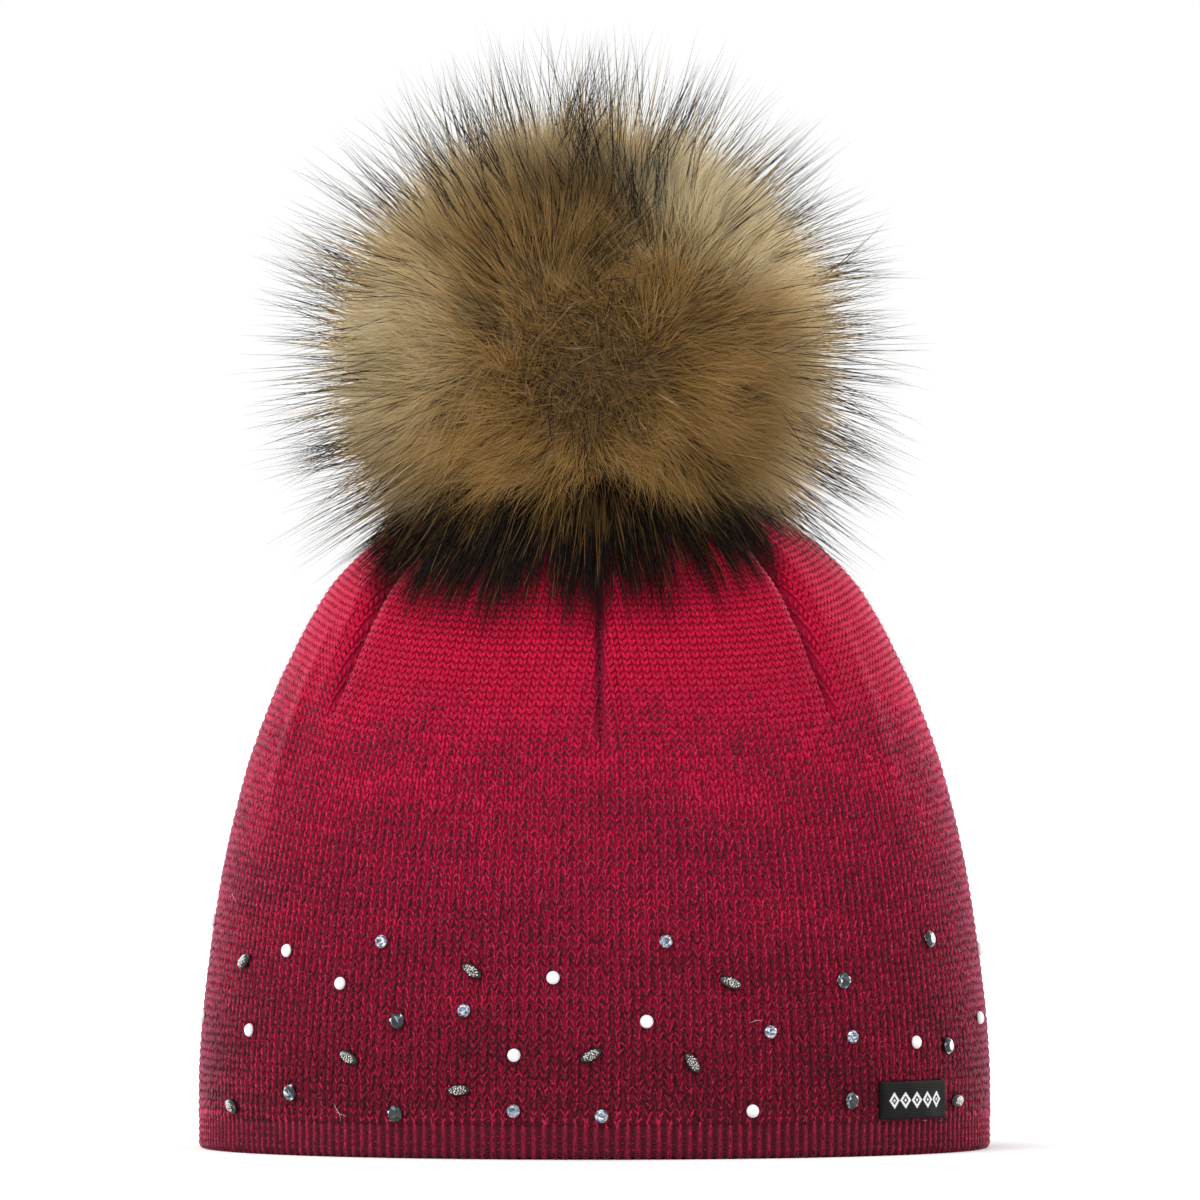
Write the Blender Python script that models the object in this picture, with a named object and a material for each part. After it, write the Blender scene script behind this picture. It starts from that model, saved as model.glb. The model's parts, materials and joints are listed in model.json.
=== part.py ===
"""Bobble hat: a hollow fine-knit cap on a ribbed hem, with a fur pompom, a woven label and set studs.

The hat stands on its hem. The origin is the centre of the rim on the ground, +Z is up and the
front of the hat faces -Y. Angles round the hat are in degrees from the front, positive towards +X.
"""
import math
import random

import bmesh
import bpy
from mathutils import Matrix, Vector

# Driving dimensions, in metres
RIM_RADIUS = 0.090
HAT_HEIGHT = 0.157
HEM_HEIGHT = 0.0072
HEM_WALL = 0.0030
HEM_ROUND = 0.0012
KNIT_WALL = 0.0026
SEAT_RADIUS = 0.012
GAP = 0.0003

DART_DEPTH = 0.0042
DART_REACH = 0.0070
RIDGE_RISE = 0.0012
RIDGE_OFFSET = 0.0060

POMPOM_CORE = 0.054
POMPOM_RADIUS = 0.0745
POMPOM_RISE = 0.0213
POMPOM_SHIFT_X = -0.0022
POMPOM_SHIFT_Y = -0.0050
LOCK_CLEARANCE = 0.0028

DOME_DIAMETER = 0.0030
DOME_HEIGHT = 0.0012
CLEAR_DIAMETER = 0.0030
SMOKE_DIAMETER = 0.0038
STONE_HEIGHT = 0.0014
OVAL_LENGTH = 0.0054
OVAL_WIDTH = 0.0028
OVAL_HEIGHT = 0.0014

LABEL_WIDTH = 0.0246
LABEL_HEIGHT = 0.0084
LABEL_THICKNESS = 0.0008

# Crown outline: height as a share of the crown's height above the hem, radius as a share of the rim's
CROWN_SECTIONS = (
    # height, radius
    (0.000, 1.000),
    (0.084, 0.998),
    (0.175, 0.986),
    (0.266, 0.967),
    (0.357, 0.944),
    (0.449, 0.912),
    (0.540, 0.872),
    (0.631, 0.817),
    (0.693, 0.770),
    (0.754, 0.718),
    (0.815, 0.652),
    (0.876, 0.548),
    (0.926, 0.430),
    (0.963, 0.310),
    (0.986, 0.210),
)

# Sewn darts: angle round the hat, foot as a share of the crown's height, depth as a share of
# DART_DEPTH, and the side on which the seam allowance makes a ridge (0 for none)
DARTS = (
    # angle, foot, depth, ridge
    (1.0, 0.55, 0.75, 0),
    (46.0, 0.58, 1.00, 1),
    (98.5, 0.56, 0.80, 0),
    (150.5, 0.57, 0.90, 1),
    (203.0, 0.55, 0.85, -1),
    (255.0, 0.57, 0.80, 0),
    (307.5, 0.60, 1.00, -1),
)
DART_NEAR_COLUMNS = (3.0, 6.0)
GORE_MIDDLE_COLUMNS = 4

HEM_COLUMNS = 72

# One lock of fur: place along the lock from the core to the tip, and width, as shares
LOCK_SECTIONS = (
    # place, width
    (0.40, 0.80),
    (1.00, 0.00),
)
LOCK_LENGTH_SPREAD = 0.16
FRONT_DRAPE = 0.16
LOCK_SEED = 7

# Studs: angle round the hat, height as a share of HAT_HEIGHT, and turn on the cloth in degrees
DOME_STUDS = (
    # angle, height, turn
    (-86.0, 0.331, 0),
    (-52.0, 0.292, 0),
    (-40.0, 0.247, 0),
    (-6.0, 0.258, 0),
    (-83.5, 0.191, 0),
    (-60.0, 0.177, 0),
    (7.5, 0.196, 0),
    (-11.5, 0.148, 0),
    (23.0, 0.068, 0),
    (53.5, 0.161, 0),
    (85.0, 0.289, 0),
    (77.0, 0.191, 0),
)
CLEAR_STONES = (
    # angle, height, turn
    (-33.0, 0.307, 10),
    (-19.0, 0.211, 4),
    (-11.5, 0.069, 15),
    (1.0, 0.062, 7),
    (10.5, 0.309, 20),
    (26.0, 0.180, 12),
    (40.0, 0.171, 0),
)
SMOKE_STONES = (
    # angle, height, turn
    (39.0, 0.251, 5),
    (-29.5, 0.195, 14),
    (-49.0, 0.090, 9),
    (-29.5, 0.063, 0),
    (39.5, 0.080, 18),
    (59.5, 0.307, 8),
    (62.0, 0.154, 3),
)
OVAL_STUDS = (
    # angle, height, turn
    (-63.5, 0.275, 33),
    (-18.0, 0.267, -34),
    (20.0, 0.250, -21),
    (-37.5, 0.142, -25),
    (-0.5, 0.148, 27),
    (14.0, 0.137, -57),
    (-19.5, 0.098, 3),
    (-64.5, 0.067, -27),
    (64.5, 0.075, 6),
)
LABEL_ANGLE = 52.8
LABEL_MIDDLE = 0.079

# A small domed form and a cut stone from the cloth upwards, as shares of half width and height
DOME_SECTIONS = (
    # height, width
    (0.00, 0.94),
    (0.30, 1.00),
    (0.72, 0.74),
    (1.00, 0.28),
)
STONE_SECTIONS = (
    # height, width
    (0.00, 0.92),
    (0.35, 1.00),
    (0.50, 1.00),
    (1.00, 0.56),
)
DOME_SIDES = 12
STONE_SIDES = 8
LABEL_COLUMNS = 8

CROWN_FOOT = HEM_HEIGHT + GAP
CROWN_RISE = HAT_HEIGHT - CROWN_FOOT


def add_material(name, colour, roughness, metallic=0.0):
    """A Principled finish, its colour in linear values."""
    material = bpy.data.materials.new(name)
    material.use_nodes = True
    shader = material.node_tree.nodes["Principled BSDF"]
    shader.inputs["Base Color"].default_value = (*colour, 1.0)
    shader.inputs["Roughness"].default_value = roughness
    shader.inputs["Metallic"].default_value = metallic
    return material


def add_object(name, form, material, parent, place=Matrix()):
    """Turns a bmesh into a named object with its faces outwards."""
    bmesh.ops.recalc_face_normals(form, faces=form.faces)
    mesh = bpy.data.meshes.new(name)
    form.to_mesh(mesh)
    form.free()
    mesh.materials.append(material)
    mesh.shade_smooth()
    mesh.set_sharp_from_angle(angle=math.radians(35))
    piece = bpy.data.objects.new(name, mesh)
    bpy.context.scene.collection.objects.link(piece)
    piece.parent = parent
    piece.matrix_local = place
    return piece


def skin_rings(rings, wrap=False):
    """A closed skin through rings of equal count: capped at both ends, or wrapped end to start."""
    form = bmesh.new()
    loops = [[form.verts.new(point) for point in ring] for ring in rings]
    pairs = list(zip(loops, loops[1:]))
    if wrap:
        pairs.append((loops[-1], loops[0]))
    else:
        form.faces.new(loops[0])
        form.faces.new(loops[-1])
    for lower, upper in pairs:
        for i in range(len(lower)):
            j = (i + 1) % len(lower)
            form.faces.new((lower[i], lower[j], upper[j], upper[i]))
    return form


def on_hat(angle, radius, z):
    """A point of the hat from its angle in degrees from the front."""
    turn = math.radians(angle)
    return Vector((radius * math.sin(turn), -radius * math.cos(turn), z))


def crown_profile():
    """The crown's outer outline as (radius, z), from its foot to the edge of the pompom's seat."""
    rows = [(share * RIM_RADIUS, CROWN_FOOT + height * CROWN_RISE) for height, share in CROWN_SECTIONS]
    return rows + [(SEAT_RADIUS, HAT_HEIGHT)]


def outward(profile, index):
    """The outline's outward direction at a row, in the (radius, z) plane."""
    before = profile[max(index - 1, 0)]
    after = profile[min(index + 1, len(profile) - 1)]
    run = Vector((after[1] - before[1], before[0] - after[0]))
    return run.normalized()


def profile_at(z):
    """The outline's radius and outward direction at a height."""
    profile = crown_profile()
    for (low_r, low_z), (high_r, high_z) in zip(profile, profile[1:]):
        if z <= high_z:
            share = (z - low_z) / (high_z - low_z)
            run = Vector((high_z - low_z, low_r - high_r))
            return low_r + share * (high_r - low_r), run.normalized()
    return profile[-1][0], Vector((0.0, 1.0))


def dart_relief(angle, radius, z):
    """How far the darts pull the cloth in (negative) or their ridges lift it, at a place."""
    relief = 0.0
    height = (z - CROWN_FOOT) / CROWN_RISE
    for dart_angle, foot, depth, ridge in DARTS:
        off_axis = (angle - dart_angle + 180.0) % 360.0 - 180.0
        arc = math.radians(off_axis) * radius
        grown = min(max((height - foot) / (0.88 - foot), 0.0), 1.0)
        crease = max(1.0 - abs(arc) / DART_REACH, 0.0) ** 2
        relief -= DART_DEPTH * depth * grown * crease * min(radius / (0.5 * RIM_RADIUS), 1.0)
        fade = 4.0 * grown * (1.0 - grown)
        bump = max(1.0 - abs(arc - ridge * RIDGE_OFFSET) / RIDGE_OFFSET, 0.0)
        relief += RIDGE_RISE * abs(ridge) * fade * bump
    return relief


def crown_columns():
    """Angles of the crown's columns: on each dart, close beside it, and evenly between two darts."""
    angles = []
    for index, (start, _, _, _) in enumerate(DARTS):
        end = DARTS[(index + 1) % len(DARTS)][0]
        span = (end - start) % 360.0
        near = DART_NEAR_COLUMNS[-1]
        step = (span - 2.0 * near) / (GORE_MIDDLE_COLUMNS + 1)
        angles.append(start)
        angles += [start + offset for offset in DART_NEAR_COLUMNS]
        angles += [start + near + step * (i + 1) for i in range(GORE_MIDDLE_COLUMNS)]
        angles += [start + span - offset for offset in reversed(DART_NEAR_COLUMNS)]
    return angles


def knit_crown():
    """The cap: one wall, darted near the top and open at the bottom."""
    profile = crown_profile()
    columns = crown_columns()
    outer = []
    inner = []
    for index, (radius, z) in enumerate(profile):
        normal = outward(profile, index)
        if index == 0:
            normal = Vector((1.0, 0.0))
        if index == len(profile) - 1:
            normal = Vector((0.0, 1.0))
        inner_radius = radius - KNIT_WALL * normal.x
        inner_z = z - KNIT_WALL * normal.y
        reliefs = [dart_relief(angle, radius, z) for angle in columns]
        outer.append([on_hat(a, radius + relief, z) for a, relief in zip(columns, reliefs)])
        inner.append([on_hat(a, inner_radius + relief, inner_z) for a, relief in zip(columns, reliefs)])
    return skin_rings(list(reversed(inner)) + outer)


def rib_hem():
    """The ribbed band: a ring with rounded lower edges and a flat foot."""
    inside = RIM_RADIUS - HEM_WALL
    section = (
        (RIM_RADIUS, HEM_HEIGHT),
        (RIM_RADIUS, HEM_ROUND),
        (RIM_RADIUS - 0.3 * HEM_ROUND, 0.3 * HEM_ROUND),
        (RIM_RADIUS - HEM_ROUND, 0.0),
        (inside + 0.5 * HEM_ROUND, 0.0),
        (inside, 0.5 * HEM_ROUND),
        (inside, HEM_HEIGHT),
    )
    angles = [360.0 * i / HEM_COLUMNS for i in range(HEM_COLUMNS)]
    return skin_rings([[on_hat(a, radius, z) for a in angles] for radius, z in section], wrap=True)


def crown_clearance(point, profile):
    """Distance from a point outside the crown to its outline, ignoring the darts."""
    here = Vector((math.hypot(point.x, point.y), point.z))
    rows = [Vector(row) for row in profile] + [Vector((0.0, HAT_HEIGHT))]
    nearest = math.inf
    for start, end in zip(rows, rows[1:]):
        run = end - start
        share = min(max((here - start).dot(run) / run.length_squared, 0.0), 1.0)
        nearest = min(nearest, (start + share * run - here).length)
    return nearest


def fur_reach(centre, direction, wanted, profile):
    """How far fur may go from the pompom's centre before it meets the crown, up to what is wanted."""
    steepness = math.acos(max(min(-direction.z, 1.0), -1.0))
    seat_spread = math.atan2(SEAT_RADIUS, POMPOM_RISE)
    margin = GAP + (LOCK_CLEARANCE - GAP) * min(steepness / seat_spread, 1.0)
    travelled = 0.0
    while travelled < wanted:
        room = crown_clearance(centre + direction * travelled, profile) - margin
        if room < 1e-6:
            return travelled
        travelled += room
    return wanted


def pompom():
    """The fur ball: tapered locks on every face of a round core, cut short where the crown is."""
    chance = random.Random(LOCK_SEED)
    profile = crown_profile()
    centre = Vector((POMPOM_SHIFT_X, POMPOM_SHIFT_Y, HAT_HEIGHT + POMPOM_RISE))
    form = bmesh.new()
    bmesh.ops.create_icosphere(form, subdivisions=3, radius=1.0)
    base_faces = [[vert for vert in face.verts] for face in form.faces]
    directions = {vert: vert.co.normalized() for vert in form.verts}
    for vert, direction in directions.items():
        vert.co = centre + direction * fur_reach(centre, direction, POMPOM_CORE, profile)
    bmesh.ops.delete(form, geom=list(form.faces), context="FACES_ONLY")
    for corners in base_faces:
        middle = sum((directions[vert] for vert in corners), Vector()).normalized()
        low_front = max(-middle.y, 0.0) * max(-middle.z, 0.0)
        spread = 1.0 + LOCK_LENGTH_SPREAD * (chance.random() - 0.5)
        length = (POMPOM_RADIUS - POMPOM_CORE) * spread
        length += POMPOM_RADIUS * FRONT_DRAPE * 2.0 * low_front
        ring = corners
        for place, width in LOCK_SECTIONS:
            wanted = POMPOM_CORE + place * length
            if width == 0.0:
                tip = form.verts.new(centre + middle * fur_reach(centre, middle, wanted, profile))
                for i in range(3):
                    form.faces.new((ring[i], ring[(i + 1) % 3], tip))
                continue
            raised = []
            for vert in corners:
                direction = middle.lerp(directions[vert], width).normalized()
                reach = fur_reach(centre, direction, wanted, profile)
                raised.append(form.verts.new(centre + direction * reach))
            for i in range(3):
                j = (i + 1) % 3
                form.faces.new((ring[i], ring[j], raised[j], raised[i]))
            ring = raised
    return form


def cloth_place(angle, height, turn):
    """The frame on the crown's cloth at a stud: Z outwards, X sideways, turned about Z."""
    z = height * HAT_HEIGHT
    radius, normal = profile_at(z)
    side = on_hat(angle + 90.0, 1.0, 0.0)
    out = on_hat(angle, normal.x, normal.y)
    up = out.cross(side)
    origin = on_hat(angle, radius, z) + out * GAP
    axes = Matrix((side, up, out)).transposed().to_4x4()
    return Matrix.Translation(origin) @ axes @ Matrix.Rotation(math.radians(turn), 4, "Z")


def small_form(sections, sides, length, width, height):
    """A domed or cut form on a flat back, as long along X and as wide along Y as given."""
    rings = []
    for rise, share in sections:
        ring = []
        for i in range(sides):
            turn = 2.0 * math.pi * i / sides
            ring.append(Vector((0.5 * length * share * math.cos(turn),
                                0.5 * width * share * math.sin(turn), rise * height)))
        rings.append(ring)
    return skin_rings(rings)


def label():
    """The woven patch, curved with the cloth it is sewn on."""
    middle = LABEL_MIDDLE * HAT_HEIGHT
    half_angle = math.degrees(0.5 * LABEL_WIDTH / RIM_RADIUS)
    rings = []
    for i in range(LABEL_COLUMNS + 1):
        angle = LABEL_ANGLE + half_angle * (2.0 * i / LABEL_COLUMNS - 1.0)
        ring = []
        for side, lift in ((-1, 0), (-1, 1), (1, 1), (1, 0)):
            z = middle + 0.5 * side * LABEL_HEIGHT
            radius = profile_at(z)[0] + GAP + lift * LABEL_THICKNESS
            ring.append(on_hat(angle, radius, z))
        rings.append(ring)
    return skin_rings(rings)


def main():
    for piece in list(bpy.data.objects):
        bpy.data.objects.remove(piece)

    crimson_knit = add_material("crimson_knit", (0.33, 0.012, 0.045), 0.9)
    burgundy_rib = add_material("burgundy_rib", (0.11, 0.012, 0.022), 0.9)
    tan_fur = add_material("tan_fur", (0.20, 0.12, 0.055), 0.8)
    black_weave = add_material("black_weave", (0.012, 0.012, 0.014), 0.7)
    white_matt = add_material("white_matt", (0.75, 0.75, 0.76), 0.5)
    clear_glass = add_material("clear_glass", (0.45, 0.52, 0.56), 0.08)
    smoke_glass = add_material("smoke_glass", (0.05, 0.055, 0.06), 0.08)
    grained_black = add_material("grained_black", (0.10, 0.10, 0.095), 0.4, 0.5)

    hat = bpy.data.objects.new("hat_frame", None)
    bpy.context.scene.collection.objects.link(hat)

    add_object("knit_crown", knit_crown(), crimson_knit, hat)
    add_object("rib_hem", rib_hem(), burgundy_rib, hat)
    add_object("pompom", pompom(), tan_fur, hat)
    add_object("label", label(), black_weave, hat)

    studs = (
        ("dome_stud", DOME_STUDS, DOME_SECTIONS, DOME_SIDES,
         (DOME_DIAMETER, DOME_DIAMETER, DOME_HEIGHT), white_matt),
        ("clear_stone", CLEAR_STONES, STONE_SECTIONS, STONE_SIDES,
         (CLEAR_DIAMETER, CLEAR_DIAMETER, STONE_HEIGHT), clear_glass),
        ("smoke_stone", SMOKE_STONES, STONE_SECTIONS, STONE_SIDES,
         (SMOKE_DIAMETER, SMOKE_DIAMETER, STONE_HEIGHT), smoke_glass),
        ("oval_stud", OVAL_STUDS, DOME_SECTIONS, DOME_SIDES,
         (OVAL_LENGTH, OVAL_WIDTH, OVAL_HEIGHT), grained_black),
    )
    for name, places, sections, sides, size, material in studs:
        for number, (angle, height, turn) in enumerate(places, start=1):
            form = small_form(sections, sides, *size)
            add_object(f"{name}_{number:02d}", form, material, hat, cloth_place(angle, height, turn))


main()
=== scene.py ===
"""Bobble hat dressed for a picture: a cap of single yarn loops, a ribbed hem, a long-haired pompom,
a woven patch and set studs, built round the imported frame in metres, with the front facing -Y.

Angles round the hat are in degrees from the front, positive towards +X. Places on the cap are an
angle and an arc length up the cloth from the cap's foot.
"""
import json
import math

import bmesh
import bpy
import numpy as np
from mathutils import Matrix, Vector

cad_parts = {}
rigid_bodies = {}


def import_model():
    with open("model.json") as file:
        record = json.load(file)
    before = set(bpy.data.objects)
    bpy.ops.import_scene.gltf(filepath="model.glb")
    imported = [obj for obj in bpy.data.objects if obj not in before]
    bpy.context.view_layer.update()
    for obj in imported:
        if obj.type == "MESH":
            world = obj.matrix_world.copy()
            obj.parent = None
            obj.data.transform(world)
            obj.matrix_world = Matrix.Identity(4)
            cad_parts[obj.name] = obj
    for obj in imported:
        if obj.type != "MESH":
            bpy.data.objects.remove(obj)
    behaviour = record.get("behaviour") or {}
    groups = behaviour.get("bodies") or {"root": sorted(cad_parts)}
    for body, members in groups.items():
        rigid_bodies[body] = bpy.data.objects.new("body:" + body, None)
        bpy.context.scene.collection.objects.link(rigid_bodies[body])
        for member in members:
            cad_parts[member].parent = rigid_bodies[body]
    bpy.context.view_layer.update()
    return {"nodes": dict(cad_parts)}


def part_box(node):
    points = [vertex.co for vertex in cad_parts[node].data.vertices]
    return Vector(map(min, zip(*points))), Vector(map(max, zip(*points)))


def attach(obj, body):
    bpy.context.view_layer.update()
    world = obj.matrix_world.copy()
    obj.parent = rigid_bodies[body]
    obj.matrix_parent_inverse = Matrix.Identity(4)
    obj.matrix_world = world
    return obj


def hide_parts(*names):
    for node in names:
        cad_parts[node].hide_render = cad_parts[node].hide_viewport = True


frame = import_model()

# Sizes read from the frame
crown_low, crown_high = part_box("knit_crown")
_, hem_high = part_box("rib_hem")
RIM_RADIUS = hem_high.x
HAT_HEIGHT = crown_high.z
CROWN_FOOT = crown_low.z
CROWN_RISE = HAT_HEIGHT - CROWN_FOOT
HEM_HEIGHT = hem_high.z

# Cloth
KNIT_WALL = 0.0026
HEM_WALL = 0.0030
SEAT_RADIUS = 0.012
GAP = 0.0003
WALES = 240
COURSE_PITCH = 0.00170
STITCH_TOP_RADIUS = 0.40
COURSE_SAG = 0.0105
COURSE_SAG_HEIGHT = 0.085
CAP_LOOP = {"Length": 0.0031, "Width": 0.00118, "Rise": 0.00049}
RIB_LOOP = {"Length": 0.0023, "Width": 0.00080, "Rise": 0.0005}
LOOP_TILT = 23.0
RIB_DEPTH = 0.0006
RIB_SCALLOP = 0.0004

# How far a half loop stands off its column's middle, as a share of the column, by the course
LOOP_SPREAD = (
    # course, spread
    (0.001, 0.11),
    (0.008, 0.25),
    (0.070, 0.25),
    (0.100, 0.225),
)

# Dark yarn in the heather: its share by the course, and how ragged fine flecks and blotches leave it
DARK_SHARE = (
    # course, share
    (0.000, 0.22),
    (0.004, 0.61),
    (0.012, 0.63),
    (0.035, 0.50),
    (0.066, 0.33),
    (0.085, 0.18),
    (0.112, 0.0),
)
FLECK_RAGGEDNESS = 2.0
BLOTCH_RAGGEDNESS = 1.5

# Cells of a pattern in a metre, for one cell in a millimetre
PER_MM = 1000.0

# Crown outline: height as a share of the crown's rise above the hem, radius as a share of the rim's
CROWN_SECTIONS = (
    # height, radius
    (0.000, 1.000),
    (0.084, 0.998),
    (0.175, 0.986),
    (0.266, 0.967),
    (0.357, 0.944),
    (0.449, 0.912),
    (0.540, 0.872),
    (0.631, 0.817),
    (0.693, 0.770),
    (0.754, 0.718),
    (0.815, 0.652),
    (0.876, 0.548),
    (0.926, 0.430),
    (0.963, 0.310),
    (0.986, 0.210),
)

# Sewn darts: angle, foot as a share of the rise, depth share, side of the seam's ridge
DARTS = (
    # angle, foot, depth, ridge
    (1.0, 0.55, 1.00, 0),
    (46.0, 0.58, 1.00, 1),
    (98.5, 0.56, 0.80, 0),
    (150.5, 0.57, 0.90, 1),
    (203.0, 0.55, 0.85, -1),
    (255.0, 0.57, 0.80, 0),
    (307.5, 0.60, 1.00, -1),
)

# Their lengths across and in depth, with the full depth's height and the fades as shares of the rise
DART_FULL = 0.88
DART_DEPTH = 0.0030
DART_REACH = 0.0070
RIDGE_RISE = 0.0012
RIDGE_OFFSET = 0.0060
CREASE_DEPTH = 0.0016
CREASE_HALF_WIDTH = 0.0009
CREASE_FADE = 0.05
# Painted shade in the darts' creases: the dark share given to the loops there, and its half width
CREASE_PAINTED_SHADE_SHARE = 0.45
CREASE_PAINTED_SHADE_HALF_WIDTH = 0.0010
CHAIN_OFFSET = 0.0026
CHAIN_HALF_WIDTH = 0.0014
CHAIN_RISE = 0.0004
SEAM_FADE = 0.08

# Degrees to each side over which the cloth's broad direction is read
BROAD_TURN = 2.5

# Soft folds in the cloth: angle, height share, half width along the arc, half height, rise
FOLDS = (
    # angle, height, half width, half height, rise
    (-64.0, 0.62, 0.0035, 0.020, 0.0010),
    (57.0, 0.66, 0.0040, 0.022, 0.0009),
    (-30.0, 0.74, 0.0080, 0.024, 0.0006),
    (120.0, 0.64, 0.0040, 0.020, 0.0008),
    (178.0, 0.68, 0.0060, 0.024, 0.0007),
    (-128.0, 0.66, 0.0040, 0.020, 0.0008),
)

# Loose fibres: stray hairs as angle, height, heading, length and curl
FUZZ_FIBRES = 18000
STRAY_RADIUS = 0.00005
STRAY_HAIRS = (
    # angle, height, heading, length, curl
    (22.5, 0.0300, 45.0, 0.0035, 20.0),
    (-39.0, 0.0065, 70.0, 0.0060, 60.0),
    (-40.0, 0.0100, 20.0, 0.0040, -80.0),
    (54.0, 0.0060, 10.0, 0.0110, -150.0),
    (60.0, 0.0085, 240.0, 0.0080, 100.0),
    (84.0, 0.0880, 30.0, 0.0060, 90.0),
    (76.0, 0.1220, 0.0, 0.0050, 60.0),
    (-70.0, 0.0560, 100.0, 0.0040, 60.0),
    (120.0, 0.0400, 60.0, 0.0060, 80.0),
    (170.0, 0.0700, 20.0, 0.0060, -60.0),
    (-140.0, 0.0300, 150.0, 0.0070, 90.0),
)

# Fur
POMPOM_CENTRE = np.array((-0.0022, -0.0050, HAT_HEIGHT + 0.0213))
WHORL = np.array((0.03, -1.0, -0.02))
DARK_TOP = np.array((-0.15, -0.62, 0.77))
DARK_STREAK = np.array((0.20, -0.62, 0.76))
PALE_TOP = np.array((0.56, -0.46, 0.69))
# The side whose hairs are paled as painted light, towards the key lamp
PAINTED_LIGHT_LEFT = np.array((-0.80, -0.58, 0.10))
CORE_RADIUS = 0.0450
FUR_CLEARANCE = 0.0010
UNDERFUR_HAIRS = 100000
GUARD_HAIRS = 8800
DRAPED_HAIRS = 150000
UNDERFUR_CLUMPS = 900
GUARD_CLUMPS = 420
DRAPED_CLUMPS = 1900
DRAPE_SPREAD = 0.025
FUR_REACH_LIMIT = 0.0865

# How low the draped hairs reach on the cap, by the angle from the drape's middle
DRAPE_MIDDLE = -10.0
DRAPE_EDGE = (
    # angle, height
    (0.0, 0.1115),
    (25.0, 0.1145),
    (42.0, 0.1215),
    (60.0, 0.1315),
    (78.0, 0.1400),
    (110.0, 0.1410),
    (180.0, 0.1300),
)

# What each hair carries, a start for black that no hair reaches, and the hairs sorted at a time
FUR_MARKS = ("run", "bend", "tone", "pale", "black_from", "ball")
NO_BLACK = 3.0
HAIR_BATCH = 8000

# Patch, and its motif in millimetres: the edges of the diamonds' bands, going in at 1 and out at -1
PATCH_THICKNESS = 0.0008
DIAMOND_HALF_PITCH = 2.0
DIAMOND_EDGES = ((1.9, 1.0), (1.0, -1.0), (0.45, 1.0))
MOTIF_HALF_WIDTH = 10.0

# Stones and grains: the painted reflection on a stone's top facet, grains on an oval and the turn between
# them
TABLE_GLINT = 0.5
OVAL_GRAINS = 32
GRAIN_TURN = 2.39996


def linear(hex_colour):
    """Linear RGBA of an sRGB hex colour."""
    values = [int(hex_colour[i:i + 2], 16) / 255 for i in (1, 3, 5)]
    return [v / 12.92 if v <= 0.04045 else ((v + 0.055) / 1.055) ** 2.4 for v in values] + [1.0]


def add(tree, kind, inputs=None, output=0, stops=(), **settings):
    """Adds a node with its settings, colour stops, input values and links, and gives one output."""
    node = tree.nodes.new(kind)
    for name, value in settings.items():
        setattr(node, name, value)
    if stops:
        elements = node.color_ramp.elements
        while len(elements) < len(stops):
            elements.new(0.5)
        for element, (place, colour) in zip(elements, stops):
            element.position = place
            element.color = linear(colour)
    for socket, value in (inputs or {}).items():
        if isinstance(value, bpy.types.NodeSocket):
            tree.links.new(value, node.inputs[socket])
        else:
            node.inputs[socket].default_value = value
    return node.outputs[output] if node.outputs else node


def new_finish(name, **fixed):
    """A material with a Principled shader whose fixed values are set on its own sockets."""
    material = bpy.data.materials.new(name)
    material.use_nodes = True
    tree = material.node_tree
    shader = tree.nodes["Principled BSDF"]
    for socket, value in fixed.items():
        shader.inputs[socket.replace("_", " ")].default_value = value
    return material, tree, shader


def plain_finish(name, stops, mark="", cells=0.0, detail=2.0, **fixed):
    """A finish coloured along stops by a number that the mesh carries, or by noise of cells to a mm."""
    material, tree, shader = new_finish(name, **fixed)
    if mark:
        level = add(tree, "ShaderNodeAttribute", output="Fac", attribute_name=mark)
    else:
        place = add(tree, "ShaderNodeTexCoord", output="Object")
        level = add(tree, "ShaderNodeTexNoise",
                    {"Vector": place, "Scale": cells * PER_MM, "Detail": detail}, "Fac")
    tint = add(tree, "ShaderNodeValToRGB", {0: level}, stops=stops)
    tree.links.new(tint, shader.inputs["Base Color"])
    return material


def softened_normal(tree, name, share):
    """The surface's own normal drawn towards a direction that the mesh carries under a name."""
    own = add(tree, "ShaderNodeNewGeometry", output="Normal")
    broad = add(tree, "ShaderNodeAttribute", output="Vector", attribute_name=name)
    mixed = add(tree, "ShaderNodeMix", {0: share, 4: own, 5: broad}, 1, data_type="VECTOR")
    return add(tree, "ShaderNodeVectorMath", {0: mixed}, operation="NORMALIZE")


def placed(name, data):
    """Links a mesh, a camera or a lamp to the scene as an object at the origin."""
    piece = bpy.data.objects.new(name, data)
    bpy.context.scene.collection.objects.link(piece)
    return piece


def mesh_object(name, points, faces, material=None):
    """A smooth object at the origin from points and faces in place."""
    mesh = bpy.data.meshes.new(name)
    mesh.from_pydata([tuple(p) for p in points], [], [tuple(f) for f in faces])
    mesh.validate()
    if material:
        mesh.materials.append(material)
    mesh.shade_smooth()
    return placed(name, mesh)


def lathe_faces(n_rings, n_columns):
    """Faces of a closed skin of rings, whose last two points are the middles of the end rings."""
    faces = []
    last, first_middle = (n_rings - 1) * n_columns, n_rings * n_columns
    for j in range(n_columns):
        k = (j + 1) % n_columns
        for low in range(0, last, n_columns):
            high = low + n_columns
            faces.append((low + j, low + k, high + k, high + j))
        faces.append((first_middle, k, j))
        faces.append((first_middle + 1, last + j, last + k))
    return faces


def write_numbers(mesh, name, values, domain="POINT"):
    """Stores one number or vector for each point or face of a mesh."""
    values = np.asarray(values, np.float32)
    kind, field = ("FLOAT_VECTOR", "vector") if values.ndim == 2 else ("FLOAT", "value")
    layer = mesh.attributes.new(name, kind, domain)
    layer.data.foreach_set(field, values.ravel())


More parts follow.
